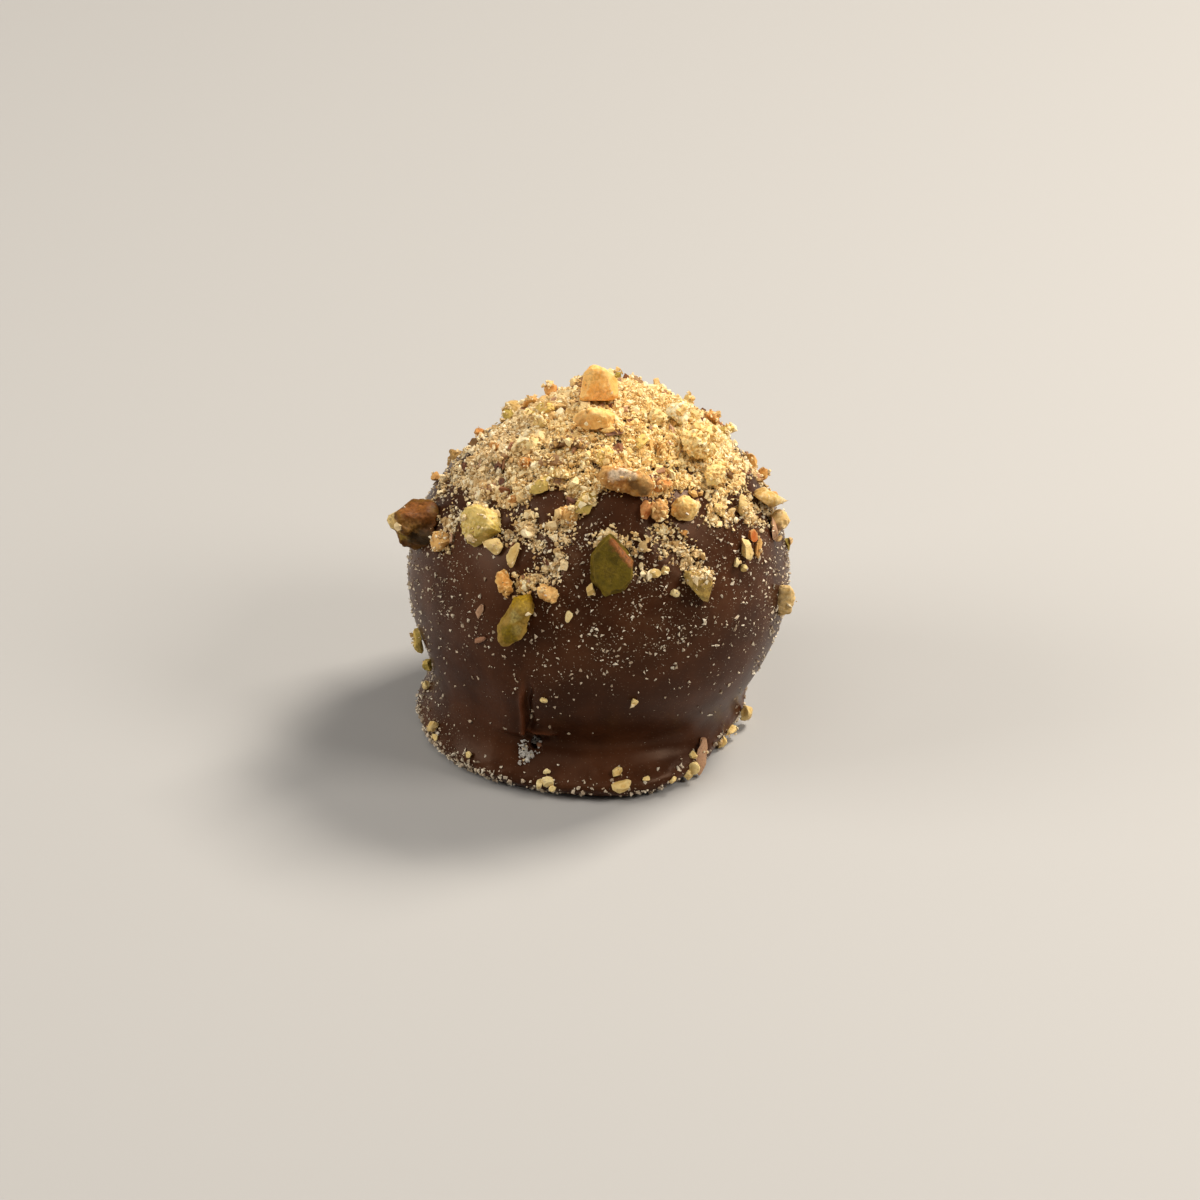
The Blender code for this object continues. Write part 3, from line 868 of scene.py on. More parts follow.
        flesh=((0.805, 0.529, 0.165), (0.985, 0.759, 0.33)), edge=(0.985, 0.821, 0.415), relief=(0.1, 0.4),
        crumble=(0.22, 0.85), crumbs=0.8,
    ),
    "peanut_half": dict(
        flesh=((0.814, 0.502, 0.152), (0.906, 0.706, 0.306)), edge=(0.906, 0.781, 0.403),
        relief=(0.08, 0.4), crumble=(0.14, 0.75), crumbs=0.6,
    ),
    "peanut_front": dict(
        flesh=((0.667, 0.384, 0.094), (0.966, 0.648, 0.234)), edge=(0.985, 0.81, 0.406),
        relief=(0.05, 0.6), crumble=(0.07, 0.55), crumbs=0.4,
        patches=(
            ((0.8, 0.1, 0.6), 0.6, (0.985, 0.81, 0.406), 0.8),
            ((-0.7, -0.3, 0.5), 0.6, (0.575, 0.294, 0.07), 0.8),
        ),
    ),
    "peanut_low": dict(
        flesh=((0.547, 0.342, 0.108), (0.662, 0.462, 0.198)), edge=(0.677, 0.504, 0.261),
        relief=(0.05, 0.6), crumble=(0.07, 0.5), crumbs=0.6,
        patches=(((0.1, -1.1, 0.3), 0.45, (0.36, 0.264, 0.059), 0.8),),
    ),
    "peanut_back": dict(
        flesh=((0.486, 0.29, 0.077), (0.589, 0.388, 0.14)), edge=(0.602, 0.424, 0.189), relief=(0.05, 0.8),
        crumble=(0.05, 0.5),
    ),
    "almond_pale": dict(
        flesh=((0.86, 0.7, 0.36), (0.96, 0.86, 0.56)), edge=(0.97, 0.92, 0.7), relief=(0.11, 0.45),
        crumble=(0.1, 0.6), crumbs=0.5,
    ),
    "almond_back": dict(
        flesh=((0.779, 0.554, 0.232), (0.893, 0.713, 0.375)), edge=(0.912, 0.783, 0.495),
        relief=(0.09, 0.45), crumble=(0.1, 0.5),
    ),
}
nutMaking = {
    "voxelShare": 0.030,  # of the nut's length, for the mesh
    "voxelRange": (0.07, 0.115),
    "press": 0.56,  # millimetres its foot is pushed into the coat
    "pressReach": 1.0,
    "lumps": 0.05,
    "lumpSize": 1.5,
    "grit": 0.05,
    "gritSize": 0.26,
    "fineShare": 0.55,  # of the relief, again at a finer grain
    "finer": 2.3,
    "crumbleSway": 0.2,
    "cutFlatness": 0.93,  # 1 is a perfectly flat cut
    "wornAt": 0.035,  # millimetres a corner stands out where it is worn all through
    # how strongly the finish shows them
    "blotches": 0.45,
    "wear": 0.6,
    "pores": 0.35,
    "bumpDepth": 0.06,
}
nutSurface = {
    "IOR": 1.45, "Specular IOR Level": 0.2, "Subsurface Weight": 0.12, "Subsurface Scale": 0.3 * mm,
    "Subsurface Radius": (1.0, 0.75, 0.5),
}


def wornEdges(mesh):
    # 0 in hollows, 1 on corners
    points, normals = pointsOf(mesh), normalsOf(mesh)
    outward = ((points - spreadOver(mesh, points, 3)) * normals).sum(1)
    return np.clip(outward / (nutMaking["wornAt"] * mm), 0, 1)


def nutRelief(points, look, seed):
    # millimetres out of the nut's surface
    making = nutMaking
    depth, grain = look["relief"]
    relief = making["lumps"] * noiseAt(points, making["lumpSize"], seed)
    fine = making["fineShare"] * depth * noiseAt(points, grain / making["finer"], seed + 5)
    relief += depth * noiseAt(points, grain, seed + 3) + fine
    relief += making["grit"] * noiseAt(points, making["gritSize"], seed + 11)
    if "crumble" in look:
        depth, width = look["crumble"]
        sway = noiseWays(points, 0.6 * width, (seed + 1, seed + 2, seed + 4))
        broken = points + making["crumbleSway"] * width * mm * sway
        relief += depth * (ease(0, 0.55, grainRelief(broken + seed * mm, width)[0]) - 0.75)
    return relief


def pressedIn(points):
    # the part near the coat goes deeper
    away = placeOf(points)[2]
    rise = np.linalg.norm(points - ballMiddle, axis=1) - depthAt(coatTree, away)
    push = nutMaking["press"] * np.clip(1 - rise / (nutMaking["pressReach"] * mm), 0, 1.3)
    return points - away * (push * mm)[:, None]


def carve(local, look):
    for way, reach in look.get("cuts", ()):
        way = unit(way)
        past = np.maximum(0, local @ way - reach)
        local -= nutMaking["cutFlatness"] * past[:, None] * way
    for place, reach, depth in look.get("dents", ()):
        near = hump(np.linalg.norm(local - place, axis=1), reach)
        local -= (near * depth / np.linalg.norm(local, axis=1))[:, None] * local


def paintPatches(mesh, local, patches, seed):
    # the patches carry the nut's own colours, and on some nuts painted highlights and painted shade
    ragged = noiseSum(local * mm, ((0.34, 0.45, seed + 7), (0.22, 0.2, seed + 9)))
    tint, amount = np.zeros((len(local), 4)), np.zeros(len(local))
    tint[:, 3] = 1
    for place, reach, tone, strength in patches:
        edge = np.linalg.norm(local - place, axis=1) / reach + ragged
        share = strength * (1 - ease(0.72, 1.18, edge))
        mixed = share[:, None] / np.maximum(amount + share, 1e-6)[:, None]
        tint[:, :3] += mixed * (np.array(tone) - tint[:, :3])
        amount = np.maximum(amount, share)
    layer = mesh.attributes.new("tint", "FLOAT_COLOR", "POINT")
    layer.data.foreach_set("color", tint.astype(np.float32).ravel())
    setValues(mesh, "patched", amount)


def makeNut(node, look):
    thing = bmeshToObject(node + "_nut", mergedCopy(node))
    low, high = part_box(node)
    share = nutMaking["voxelShare"] * max(high - low) / mm
    remesh = thing.modifiers.new("even faces", "REMESH")
    remesh.mode = "VOXEL"
    remesh.voxel_size = float(np.clip(share, *nutMaking["voxelRange"])) * mm
    mesh = applyModifiers(thing)

    points = spreadOver(mesh, pointsOf(mesh), 1)
    setPoints(mesh, points)
    seed = float(sum(map(ord, node)) % 97)
    normals = normalsOf(mesh)
    points += normals * (nutRelief(points, look, seed) * mm)[:, None]
    points = pressedIn(points)

    middle = points.mean(0)
    axes = turnedAxes(unit(middle - ballMiddle))
    local = (points - middle) @ axes.T / mm
    carve(local, look)
    setPoints(mesh, middle + local @ axes * mm)
    setValues(mesh, "worn", wornEdges(mesh))
    lowest = look.get("crumbsAbove", -9.0)
    setValues(mesh, "catch", ease(lowest, lowest + 0.6, local[:, 1]))
    if "patches" in look:
        paintPatches(mesh, local, look["patches"], seed)
    mesh.shade_smooth()
    return thing


def nutFinish(name, look):
    making = nutMaking
    material, graph, shader, place = startFinish(name, nutSurface)
    flesh = graph.noise(place, 0.9, 3)
    pores = graph.noise(place, 0.20, 3, 0.65)
    blotches = graph.noise(place, 0.42, 2)
    darker, lighter = look["flesh"]
    colour = graph.colours(graph.between(flesh, 0.36, 0.64), darker, lighter)
    pale = graph.between(blotches, 0.55, 0.72) * making["blotches"]
    colour = graph.colours(pale, colour, look["edge"])
    colour = graph.colours(graph.attribute("worn") * making["wear"], colour, look["edge"])
    if "patches" in look:
        tint = graph.wire("ShaderNodeAttribute", {"attribute_name": "tint"}, output="Color")
        mottle = graph.between(pores, 0.62, 0.38) * 0.6
        mottled = graph.colours(mottle, tint, (0.45, 0.42, 0.40), "MULTIPLY")
        colour = graph.colours(graph.attribute("patched"), colour, mottled)
    shaded = (1 - graph.between(pores, 0.28, 0.5)) * making["pores"]
    colour = graph.colours(shaded, colour, tuple(0.45 * c for c in darker))
    rough = 0.46 + pores * 0.28
    height = pores * 0.7 + blotches * 0.5
    feed(graph, shader, colour, rough, height, making["bumpDepth"] * mm)
    return material


nuts = {}
for node, look in nutLooks.items():
    nut = makeNut(node, look)
    nut.data.materials.clear()
    nut.data.materials.append(nutFinish(node.replace("_", " "), look))
    nuts[node] = nut
print("chopped nuts:", len(nuts), "pieces,", sum(len(n.data.polygons) for n in nuts.values()), "faces")


# Smaller chopped bits

# sugar crystals: how many, azimuth, millimetres up, reach; the first patch fills the pit, while
# the second is hidden in the base, because over 10 millimetres up less 100 is an elevation
frost = {
    "patches": ((130, -24.2, 3.15, 0.95), (20, -27.7, 10.6, 0.5)),
    "sizes": (0.12, 0.38),
    "sizeBias": 1.6,  # over 1 makes more of them small
    "hollow": (0.15, 0.45),  # share of the reach kept free, and how much more where the pit is open
    "openTurn": 0.8,  # radians from level right
    "degreesPerMm": 4.2,
    "seed": 6,
}


def frostPlaces():
    rng = random.Random(frost["seed"])
    smallest, largest = frost["sizes"]
    free, opened = frost["hollow"]
    places = []
    for count, azimuth, up, reach in frost["patches"]:
        for crystal in range(count):
            turn = rng.vonmisesvariate(math.radians(215), 0.35)
            nearest = free + opened * hump(turn % (2 * math.pi) - frost["openTurn"], 0.9)
            out = reach * (nearest + (1 - nearest) * rng.random()) * (0.85 + 0.25 * math.sin(3 * turn + 1))
            size = smallest + (largest - smallest) * rng.random() ** frost["sizeBias"]
            across = frost["degreesPerMm"] * out * math.cos(turn)
            spot = (azimuth + across, up + out * math.sin(turn) - 100)
            places.append((*spot, size, 0.7 * size, 0.7 * size, rng.uniform(0, 180), rng.random()))
    return tuple(places)


# stops: the colours of tones 0 to 1; places: azimuth, level; length, width, height in
# millimetres; turn from level; tone. A level is an elevation, and where it is under -90 it is
# millimetres up the foot less 100
bitLooks = {
    "skin": dict(
        stops=(
            (0, (0.12, 0.05, 0.030)), (0.25, (0.26, 0.10, 0.05)), (0.6, (0.38, 0.19, 0.09)),
            (1, (0.50, 0.30, 0.18)),
        ),
        places=(
            (20, 73, 1.7, 0.8, 0.3, 10, 0.12), (-58, 42, 2.2, 1.0, 0.4, 60, 0.62),
            (-37, 1, 1.3, 0.5, 0.3, 30, 0.3), (-38, 9, 1.3, 0.5, 0.3, 70, 0.9),
            (111, 30, 1.2, 0.7, 0.3, 40, 0.4), (99, 28, 1.0, 0.7, 0.3, 0, 0.5),
            (78, 19, 2.0, 1.6, 0.5, 30, 0.85), (-145, 46, 1.4, 0.9, 0.3, 30, 0.5),
            (164, 30, 1.2, 0.7, 0.3, 70, 0.35), (38.5, -98.6, 2.2, 1.1, 0.35, 62, 0.75),
            (42, -97.8, 0.9, 0.6, 0.3, 20, 0.6), (-21, -96.6, 0.6, 0.4, 0.3, 0, 0.3),
        ),
    ),
    "sugar": dict(
        stops=((0, (0.22, 0.17, 0.13)), (0.5, (0.42, 0.38, 0.33)), (1, (0.60, 0.57, 0.52))),
        places=frostPlaces(),
    ),
    "hazelnut": dict(
        stops=(
            (0, (0.38, 0.085, 0.010)), (0.35, (0.52, 0.20, 0.04)), (0.6, (0.62, 0.34, 0.09)),
            (1, (0.74, 0.45, 0.17)),
        ),
        places=(
            (20, 44, 1.3, 0.9, 0.8, 70, 0.0), (62.5, 20.5, 1.5, 0.9, 0.7, 80, 0.55),
            (61, 24.3, 1.1, 1.0, 0.9, 10, 0.0), (-13, 43, 1.9, 1.3, 1.0, -20, 0.6),
            (-65, 21, 1.6, 1.4, 1.0, 40, 0.7), (-150, 60, 1.1, 1.0, 1.0, 20, 0.4),
            (-120, 40, 0.9, 0.7, 0.7, 50, 0.3), (-103, 26, 0.9, 0.7, 0.7, 0, 0.5),
            (-45, 57, 1.3, 0.8, 0.7, 60, 0.3), (33, 35, 0.7, 0.6, 0.5, 0, 0.45),
            (-40, 45, 0.9, 0.6, 0.5, 30, 0.3), (104, 16, 1.0, 0.8, 0.7, 60, 0.45),
            (120, 46, 1.3, 1.0, 0.9, 15, 0.4), (156, 40, 1.2, 0.8, 0.8, 70, 0.6),
            (-134, 58, 1.3, 0.9, 0.8, 100, 0.5), (-176, 32, 1.2, 0.9, 0.8, 30, 0.35),
            (148, 8, 0.9, 0.7, 0.6, 40, 0.5), (12, 59, 1.2, 0.9, 0.7, 15, 0.6),
            (44, 62, 1.3, 0.9, 0.7, 40, 0.7), (32, 51, 1.4, 1.0, 0.8, 10, 0.35),
            (-77, 55, 1.0, 0.5, 1.2, 40, 0.35), (106, 31.5, 1.3, 0.5, 0.85, 25, 0.55),
            (102.5, 26.5, 1.1, 0.45, 0.9, 15, 0.5),
        ),
    ),
    "pistachio": dict(
        stops=(
            (0, (0.11, 0.085, 0.004)), (0.5, (0.27, 0.20, 0.025)), (0.8, (0.52, 0.38, 0.10)),
            (1, (0.76, 0.53, 0.15)),
        ),
        places=(
            (-4, 47, 1.7, 1.4, 1.0, 70, 0.7), (-90, 73, 1.6, 1.1, 1.0, 80, 1.0),
            (-74, -17, 2.1, 0.9, 0.9, 80, 0.8), (-77, -28, 1.1, 0.8, 0.8, 40, 0.6),
            (110, 43, 1.4, 1.1, 1.0, 20, 0.9), (-28, 51, 1.7, 1.25, 1.0, 80, 0.8),
            (-128, 50, 1.4, 1.0, 0.9, 30, 0.5), (168, 62, 1.3, 1.0, 0.9, -20, 0.4),
            (126, 20, 1.2, 0.8, 0.8, 75, 0.3), (-155, 18, 1.2, 0.9, 0.8, 65, 0.6),
            (34, 66, 1.4, 1.0, 0.8, 30, 1.0), (5, 63, 1.6, 1.0, 0.8, 60, 1.0),
            (90, 8, 1.0, 0.7, 0.6, 75, 0.5),
        ),
    ),
    "almond": dict(
        stops=(
            (0, (0.46, 0.26, 0.06)), (0.4, (0.66, 0.43, 0.13)), (0.75, (0.78, 0.57, 0.22)),
            (1, (0.86, 0.70, 0.36)),
        ),
        places=(
            (55.5, 22.3, 1.5, 1.1, 0.9, 80, 0.55), (-21, 56, 1.6, 0.9, 0.8, 5, 0.4),
            (-30, 29, 1.6, 0.85, 0.7, 85, 0.3), (-39, 29, 1.5, 1.2, 0.9, 30, 0.45),
            (129, 52, 1.2, 1.0, 0.9, 40, 0.7), (65, 34, 1.4, 1.0, 0.8, 60, 0.2),
            (-2.2, 21.5, 1.0, 0.7, 0.6, 70, 0.4), (50.5, 20.5, 0.7, 0.6, 0.5, 20, 0.9),
            (52.5, 17.5, 0.6, 0.5, 0.5, 70, 0.6), (19, 25, 0.8, 0.7, 0.6, 10, 0.5),
            (22.5, 25.5, 0.6, 0.6, 0.5, 50, 0.7), (24.5, 18.5, 0.8, 0.6, 0.5, -30, 0.9),
            (-52, 64, 1.5, 1.2, 1.0, 20, 0.9), (-68, 71, 1.1, 0.9, 0.9, 60, 0.8),
            (53, 37, 1.3, 0.9, 0.8, -50, 0.5), (-9, 13.5, 0.9, 0.5, 0.4, 70, 0.9),
            (11, -16, 0.6, 0.5, 0.45, 30, 0.7), (-16.5, -15.5, 0.5, 0.45, 0.4, 0, 0.8),
            (-170, 56, 1.4, 1.1, 1.0, 10, 0.7), (150, 50, 1.2, 0.9, 0.8, 60, 0.6),
            (-100, 66, 1.2, 1.0, 0.9, 30, 0.8), (70, 71, 1.4, 1.2, 0.9, 0, 0.8),
            (98, 60, 1.4, 1.0, 0.9, 50, 0.7), (78, -98.8, 1.7, 1.1, 1.0, -50, 0.3),
            (65, -99.1, 1.4, 0.6, 0.6, 0, 0.3), (58, -99.4, 1.0, 0.8, 0.7, 40, 0.4),
            (33, -98.8, 0.9, 0.8, 0.7, 20, 0.65), (31, -99.3, 0.8, 0.7, 0.6, 60, 0.6),
            (35, -98.2, 0.7, 0.6, 0.5, 0, 0.6), (-15.5, -98.5, 0.8, 0.7, 0.6, 15, 0.9),
            (-18, -98.7, 0.7, 0.6, 0.6, 60, 0.9), (6.5, -98.0, 0.8, 0.7, 0.6, 90, 0.4),
            (-13.5, -98.8, 0.6, 0.5, 0.5, 30, 0.8), (-16.5, -98.0, 0.5, 0.5, 0.4, 50, 1.0),
            (7, -98.6, 1.3, 1.0, 0.9, 10, 0.45), (-64, -97.9, 1.2, 1.0, 0.8, 40, 0.25),
            (-60, -98.4, 0.6, 0.5, 0.5, 0, 0.7), (-140, -98.7, 1.1, 0.9, 0.8, 20, 0.5),
            (120, -98.7, 1.2, 0.9, 0.8, 0, 0.6), (172, -98.4, 1.0, 0.8, 0.7, 40, 0.5),
            (-84, -97.0, 0.9, 0.7, 0.6, 40, 0.7), (-108, -98.5, 1.0, 0.8, 0.7, 10, 0.7),
            (15, -98.4, 0.5, 0.5, 0.4, 0, 0.7), (-43, -98.0, 0.6, 0.5, 0.4, 0, 0.7),
            (24, -98.9, 0.6, 0.5, 0.4, 0, 0.6),
        ),
    ),
    "walnut": dict(
        stops=((0, (0.12, 0.05, 0.018)), (0.5, (0.26, 0.15, 0.065)), (1, (0.46, 0.26, 0.12))),
        places=(
            (-18, 67, 1.8, 1.2, 0.9, 10, 0.5), (-30, 66, 1.3, 1.0, 0.8, 40, 0.3),
            (-28, 60, 1.7, 1.0, 0.8, 20, 0.8), (-165, 74, 1.6, 1.2, 1.0, 0, 0.4),
            (-62, 55, 1.2, 0.9, 0.8, 50, 0.6), (162, 53, 1.3, 1.0, 0.9, 30, 0.5),
            (-105, 44, 1.2, 0.9, 0.8, 80, 0.4), (72, 44, 1.1, 0.8, 0.7, 70, 0.2),
        ),
    ),
}
bitMaking = {
    "lumps": 0.22,
    "lumpSize": 0.9,
    "cuts": 6,
    "cutDepth": (0.35, 0.75),  # how far out of 1 the cuts are
    "grit": 0.16,
    "gritSize": 0.42,
    "grow": 1.22,  # makes up for what the cuts take
    "stand": 0.34,  # of its height, how far its middle is out of the coat
    "standInHeap": 0.35,  # millimetres more where the heap is thick
    "outward": 0.6,  # how much it leans from the coat's own direction to straight out
    "sharpAbove": 32,  # degrees
}


def bitShape(size, rng, fineness):
    # a rounded lump with knife cuts: what lies past a cut is pressed flat onto it
    making = bitMaking
    shape = bmesh.new()
    bmesh.ops.create_icosphere(shape, subdivisions=fineness, radius=1)
    points = np.array([v.co for v in shape.verts])
    faces = [[v.index for v in f.verts] for f in shape.faces]
    shape.free()
    shift = rng.uniform(0, 50)
    points *= (1 + making["lumps"] * noiseAt(points * mm, making["lumpSize"], shift))[:, None]
    for cut in range(making["cuts"]):
        way = np.array([rng.gauss(0, 1) for axis in range(3)])
        way /= np.linalg.norm(way)
        past = np.maximum(0, points @ way - rng.uniform(*making["cutDepth"]))
        points -= past[:, None] * way
    points *= (1 + making["grit"] * noiseAt(points * mm, making["gritSize"], shift + 9))[:, None]
    return points * np.array(size) * 0.5 * mm * making["grow"], faces


def seatAt(azimuth, level):
    # a place on the coat and its outward direction; level is an elevation, or for the foot
    # millimetres up less 100
    away, start = heading(azimuth, level), ballMiddle
    if level < -90:
        away, start = heading(azimuth, 0), np.array((0, 0, (level + 100) * mm))
    spot, out, _, _ = coatTree.ray_cast(Vector(start), Vector(away))
    spot, out = np.array(spot), np.array(out)
    out = out if out @ away > 0 else -out
    out = out + bitMaking["outward"] * away
    return spot, out / np.linalg.norm(out)


def makeBits(kind, look):
    rng = random.Random(len(kind) * 31)
    fineness = 2 if kind == "sugar" else 3
    allPoints, allFaces, tones = [], [], []
    for azimuth, level, length, width, height, turn, tone in look["places"]:
        points, faces = bitShape((length, width, height), rng, fineness)
        spot, away = seatAt(azimuth, level)
        right, up, _ = turnedAxes(away)
        spin = math.radians(turn)
        along = right * math.cos(spin) + up * math.sin(spin)
        axes = np.stack((along, np.cross(away, along), away))
        out = bitMaking["stand"] * height * mm + bitMaking["standInHeap"] * mm * heapAmount(spot[None])[0]
        start = sum(map(len, allPoints))
        allFaces += [[start + index for index in face] for face in faces]
        placed = spot + away * out + points @ axes
        placed[:, 2] += max(0.0, 0.02 * mm - placed[:, 2].min())  # clear of the floor
        allPoints.append(placed)
        tones += [tone] * len(points)
    mesh = bpy.data.meshes.new(kind + "_bits")
    mesh.from_pydata(np.concatenate(allPoints).tolist(), [], allFaces)
    setValues(mesh, "tone", tones)
    setValues(mesh, "worn", wornEdges(mesh))
    mesh.shade_smooth()
    mesh.set_sharp_from_angle(angle=math.radians(bitMaking["sharpAbove"]))
    return addObject(kind + "_bits", mesh)


def bitFinish(kind, look):
    constants = {**nutSurface, "Subsurface Weight": 0.1}
    material, graph, shader, place = startFinish("small " + kind + " bits", constants)
    flesh, pores = graph.noise(place, 0.6, 3), graph.noise(place, 0.18, 3, 0.65)
    darkest, lightest = look["stops"][0][1], look["stops"][-1][1]
    colour = graph.ramp(graph.attribute("tone") + (flesh - 0.5) * 0.5, look["stops"])
    colour = graph.colours(graph.attribute("worn") * 0.4, colour, lightest)
    colour = graph.colours((1 - graph.between(pores, 0.3, 0.5)) * 0.4, colour, darkest)
    feed(graph, shader, colour, 0.5 + pores * 0.25, pores, nutMaking["bumpDepth"] * mm)
    return material


bits = {}
for kind, look in bitLooks.items():
    bits[kind] = makeBits(kind, look)
    bits[kind].data.materials.append(bitFinish(kind, look))
print("small bits:", sum(len(look["places"]) for look in bitLooks.values()))


# Loose meal, scattered by Geometry Nodes

# how the heap, the sprinkle and the foot line turn into grains; noises: amount, grain, shift
coverLook = {
    "patchy": ((0.5, 1.1, 51.0), (0.35, 0.5, 53.0)),
    "torn": ((1.0, 0.9, 61.0), (0.8, 0.4, 63.0)),
    "clustered": ((1.0, 1.3, 57.0), (0.6, 3.4, 59.0)),
    "crustGrains": 0.25,
    "crestGrains": 1.1,
    "bareGrains": 0.10,
    "tornGrains": 1.5,
    "nutGrains": 0.45,
    "nutSprinkle": 0.07,
    "nutCrumbs": 0.6,  # for a nut that doesn't say
    "bitCrumbs": 1.1,
}


def joined(name, things):
    # one mesh with what the scattering reads
    shape = bmesh.new()
    for thing in things:
        shape.from_mesh(thing.data)
    made = bmeshToObject(name, shape)
    made.data.materials.clear()
    return made


def coatCover(mesh, points, heap, patchy):
    # grains and sprinkle on the coat, with the values that its own finish reads
    elevation, away = placeOf(points)[1:]
    look, sides = coverLook, spots(away, mealMap["sprinkle"])
    above = crustThickness(points)[0]
    bare = 1 - ease(-0.05, 0.08, above)
    torn = ease(0.05, 0.45, noiseSum(points, look["torn"]) + 0.5 * heap)
    amount = ease(0.08, 0.65, heap + 0.2 * (patchy - 0.5))
    grains = bare * amount * (look["bareGrains"] + look["tornGrains"] * torn)
    sprinkle = bare * (sides * 0.8 + 0.15 * ease(-46, 12, elevation))
    clustered = ease(0.05, 0.55, noiseSum(points, look["clustered"]))
    sprinkle *= 0.45 + 0.3 * np.clip(patchy, 0, 1) + 1.3 * clustered
    line = footLineAmount(points)
    setValues(mesh, "footLine", line * np.clip(0.3 + patchy, 0, 1.3))
    setValues(mesh, "film", np.clip(heap * 0.9 + 0.30 * sides + 0.5 * line, 0, 1))
    setValues(mesh, "dusting", np.clip(0.12 + heap + 0.6 * sides + line, 0, 1))
    return grains, sprinkle


def nutCover(thing, up, heap, patchy):
    # grains and sprinkle on a nut or on the small bits
    look, share = coverLook, coverLook["bitCrumbs"]
    if thing in nuts.values():
        share = nutLooks[thing.name.removesuffix("_nut")].get("crumbs", look["nutCrumbs"])
        share = share * readValues(thing.data, "catch")
    buried = 0.12 + 0.88 * ease(0.05, 0.6, heap)
    grains = look["nutGrains"] * share * up * buried * np.clip(patchy, 0, 1)
    return grains, look["nutSprinkle"] * share * up


def markGround(things):
    # how much loose meal each surface takes
    for thing in things:
        mesh = thing.data
        points, normals = pointsOf(mesh), normalsOf(mesh)
        away = placeOf(points)[2]
        heap = heapAmount(points)
        patchy = noiseSum(points, coverLook["patchy"], 0.5)
        up = ease(-0.2, 0.6, (normals * away).sum(1))
        if thing is crust:
            crest = coverLook["crustGrains"] + coverLook["crestGrains"] * readValues(mesh, "crest")
            grains, sprinkle = (readValues(mesh, "rise") > 0.02) * crest, np.zeros(len(points))
        elif thing is coat:
            grains, sprinkle = coatCover(mesh, points, heap, patchy)
        else:
            grains, sprinkle = nutCover(thing, up, heap, patchy)
        if thing is not coat:
            setValues(mesh, "footLine", np.zeros(len(points)))
        setValues(mesh, "grains", grains)
        setValues(mesh, "flakes", grains * (thing in (coat, crust)))
        setValues(mesh, "sprinkle", np.clip(sprinkle, 0, 1.2))
        gold = np.clip(spots(away, mealMap["golden"]) + 0.25 * (patchy - 0.5), 0, 1)
        setValues(mesh, "gold", gold)
        setValues(mesh, "goldGrains", grains * (0.1 + 0.9 * gold))
        setValues(mesh, "paleGrains", grains * (1.0 - 0.6 * gold))


# cover: the attribute that says where; count: about how many; sizes and lift out of the surface
# in millimetres; sizeBias over 1 makes more of them small; shape: segments and rings of a grain;
# stretch: least and most length, width and height
crumbly = ((0.6, 0.5, 0.45), (1.5, 1.1, 1.0))
scatters = {
    "fine_meal": dict(
        cover="grains", count=11000, sizes=(0.10, 0.27), sizeBias=1.4, shape=(4, 3),
        stretch=crumbly, lift=(-0.03, 0.12), seed=3),
    "pale_meal": dict(
        cover="paleGrains", count=11000, sizes=(0.12, 0.38), sizeBias=1.8, shape=(4, 3),
        stretch=crumbly, lift=(0.0, 0.20), seed=5),
    "golden_meal": dict(
        cover="goldGrains", count=9200, sizes=(0.14, 0.42), sizeBias=1.8, shape=(4, 3),
        stretch=crumbly, lift=(0.02, 0.24), seed=8),
    "coarse_meal": dict(
        cover="grains", count=1000, sizes=(0.36, 0.80), sizeBias=2.4, shape=(6, 4),
        stretch=((0.8, 0.7, 0.6), (1.4, 1.1, 1.0)), lift=(0.0, 0.15), seed=14),
    "loose_specks": dict(
        cover="sprinkle", count=5600, sizes=(0.07, 0.33), sizeBias=3.6, shape=(3, 3),
        stretch=((0.6, 0.7, 0.5), (1.2, 1.8, 0.9)), lift=(-0.01, 0.04), seed=21),
    "foot_crumbs": dict(
        cover="footLine", count=1900, sizes=(0.10, 0.42), sizeBias=2.4, shape=(4, 3),
        stretch=((0.7, 0.7, 0.6), (1.3, 1.2, 1.0)), lift=(-0.02, 0.08), seed=27),
    "skin_flakes": dict(
        cover="flakes", count=90, sizes=(0.5, 1.2), sizeBias=1.8, shape=(7, 3),
        stretch=((0.8, 0.6, 0.16), (1.4, 0.9, 0.26)), lift=(0.05, 0.22), seed=33),
}
scatterInputs = {
    "Geometry": "Geometry", "Cover": "String", "Grains per Area": "Float", "Smallest": "Float",
    "Largest": "Float", "Size Bias": "Float", "Stretch Low": "Vector", "Stretch High": "Vector",
    "Lift Low": "Float", "Lift High": "Float", "Segments": "Int", "Rings": "Int", "Seed": "Int",
    "Finish": "Material",
}


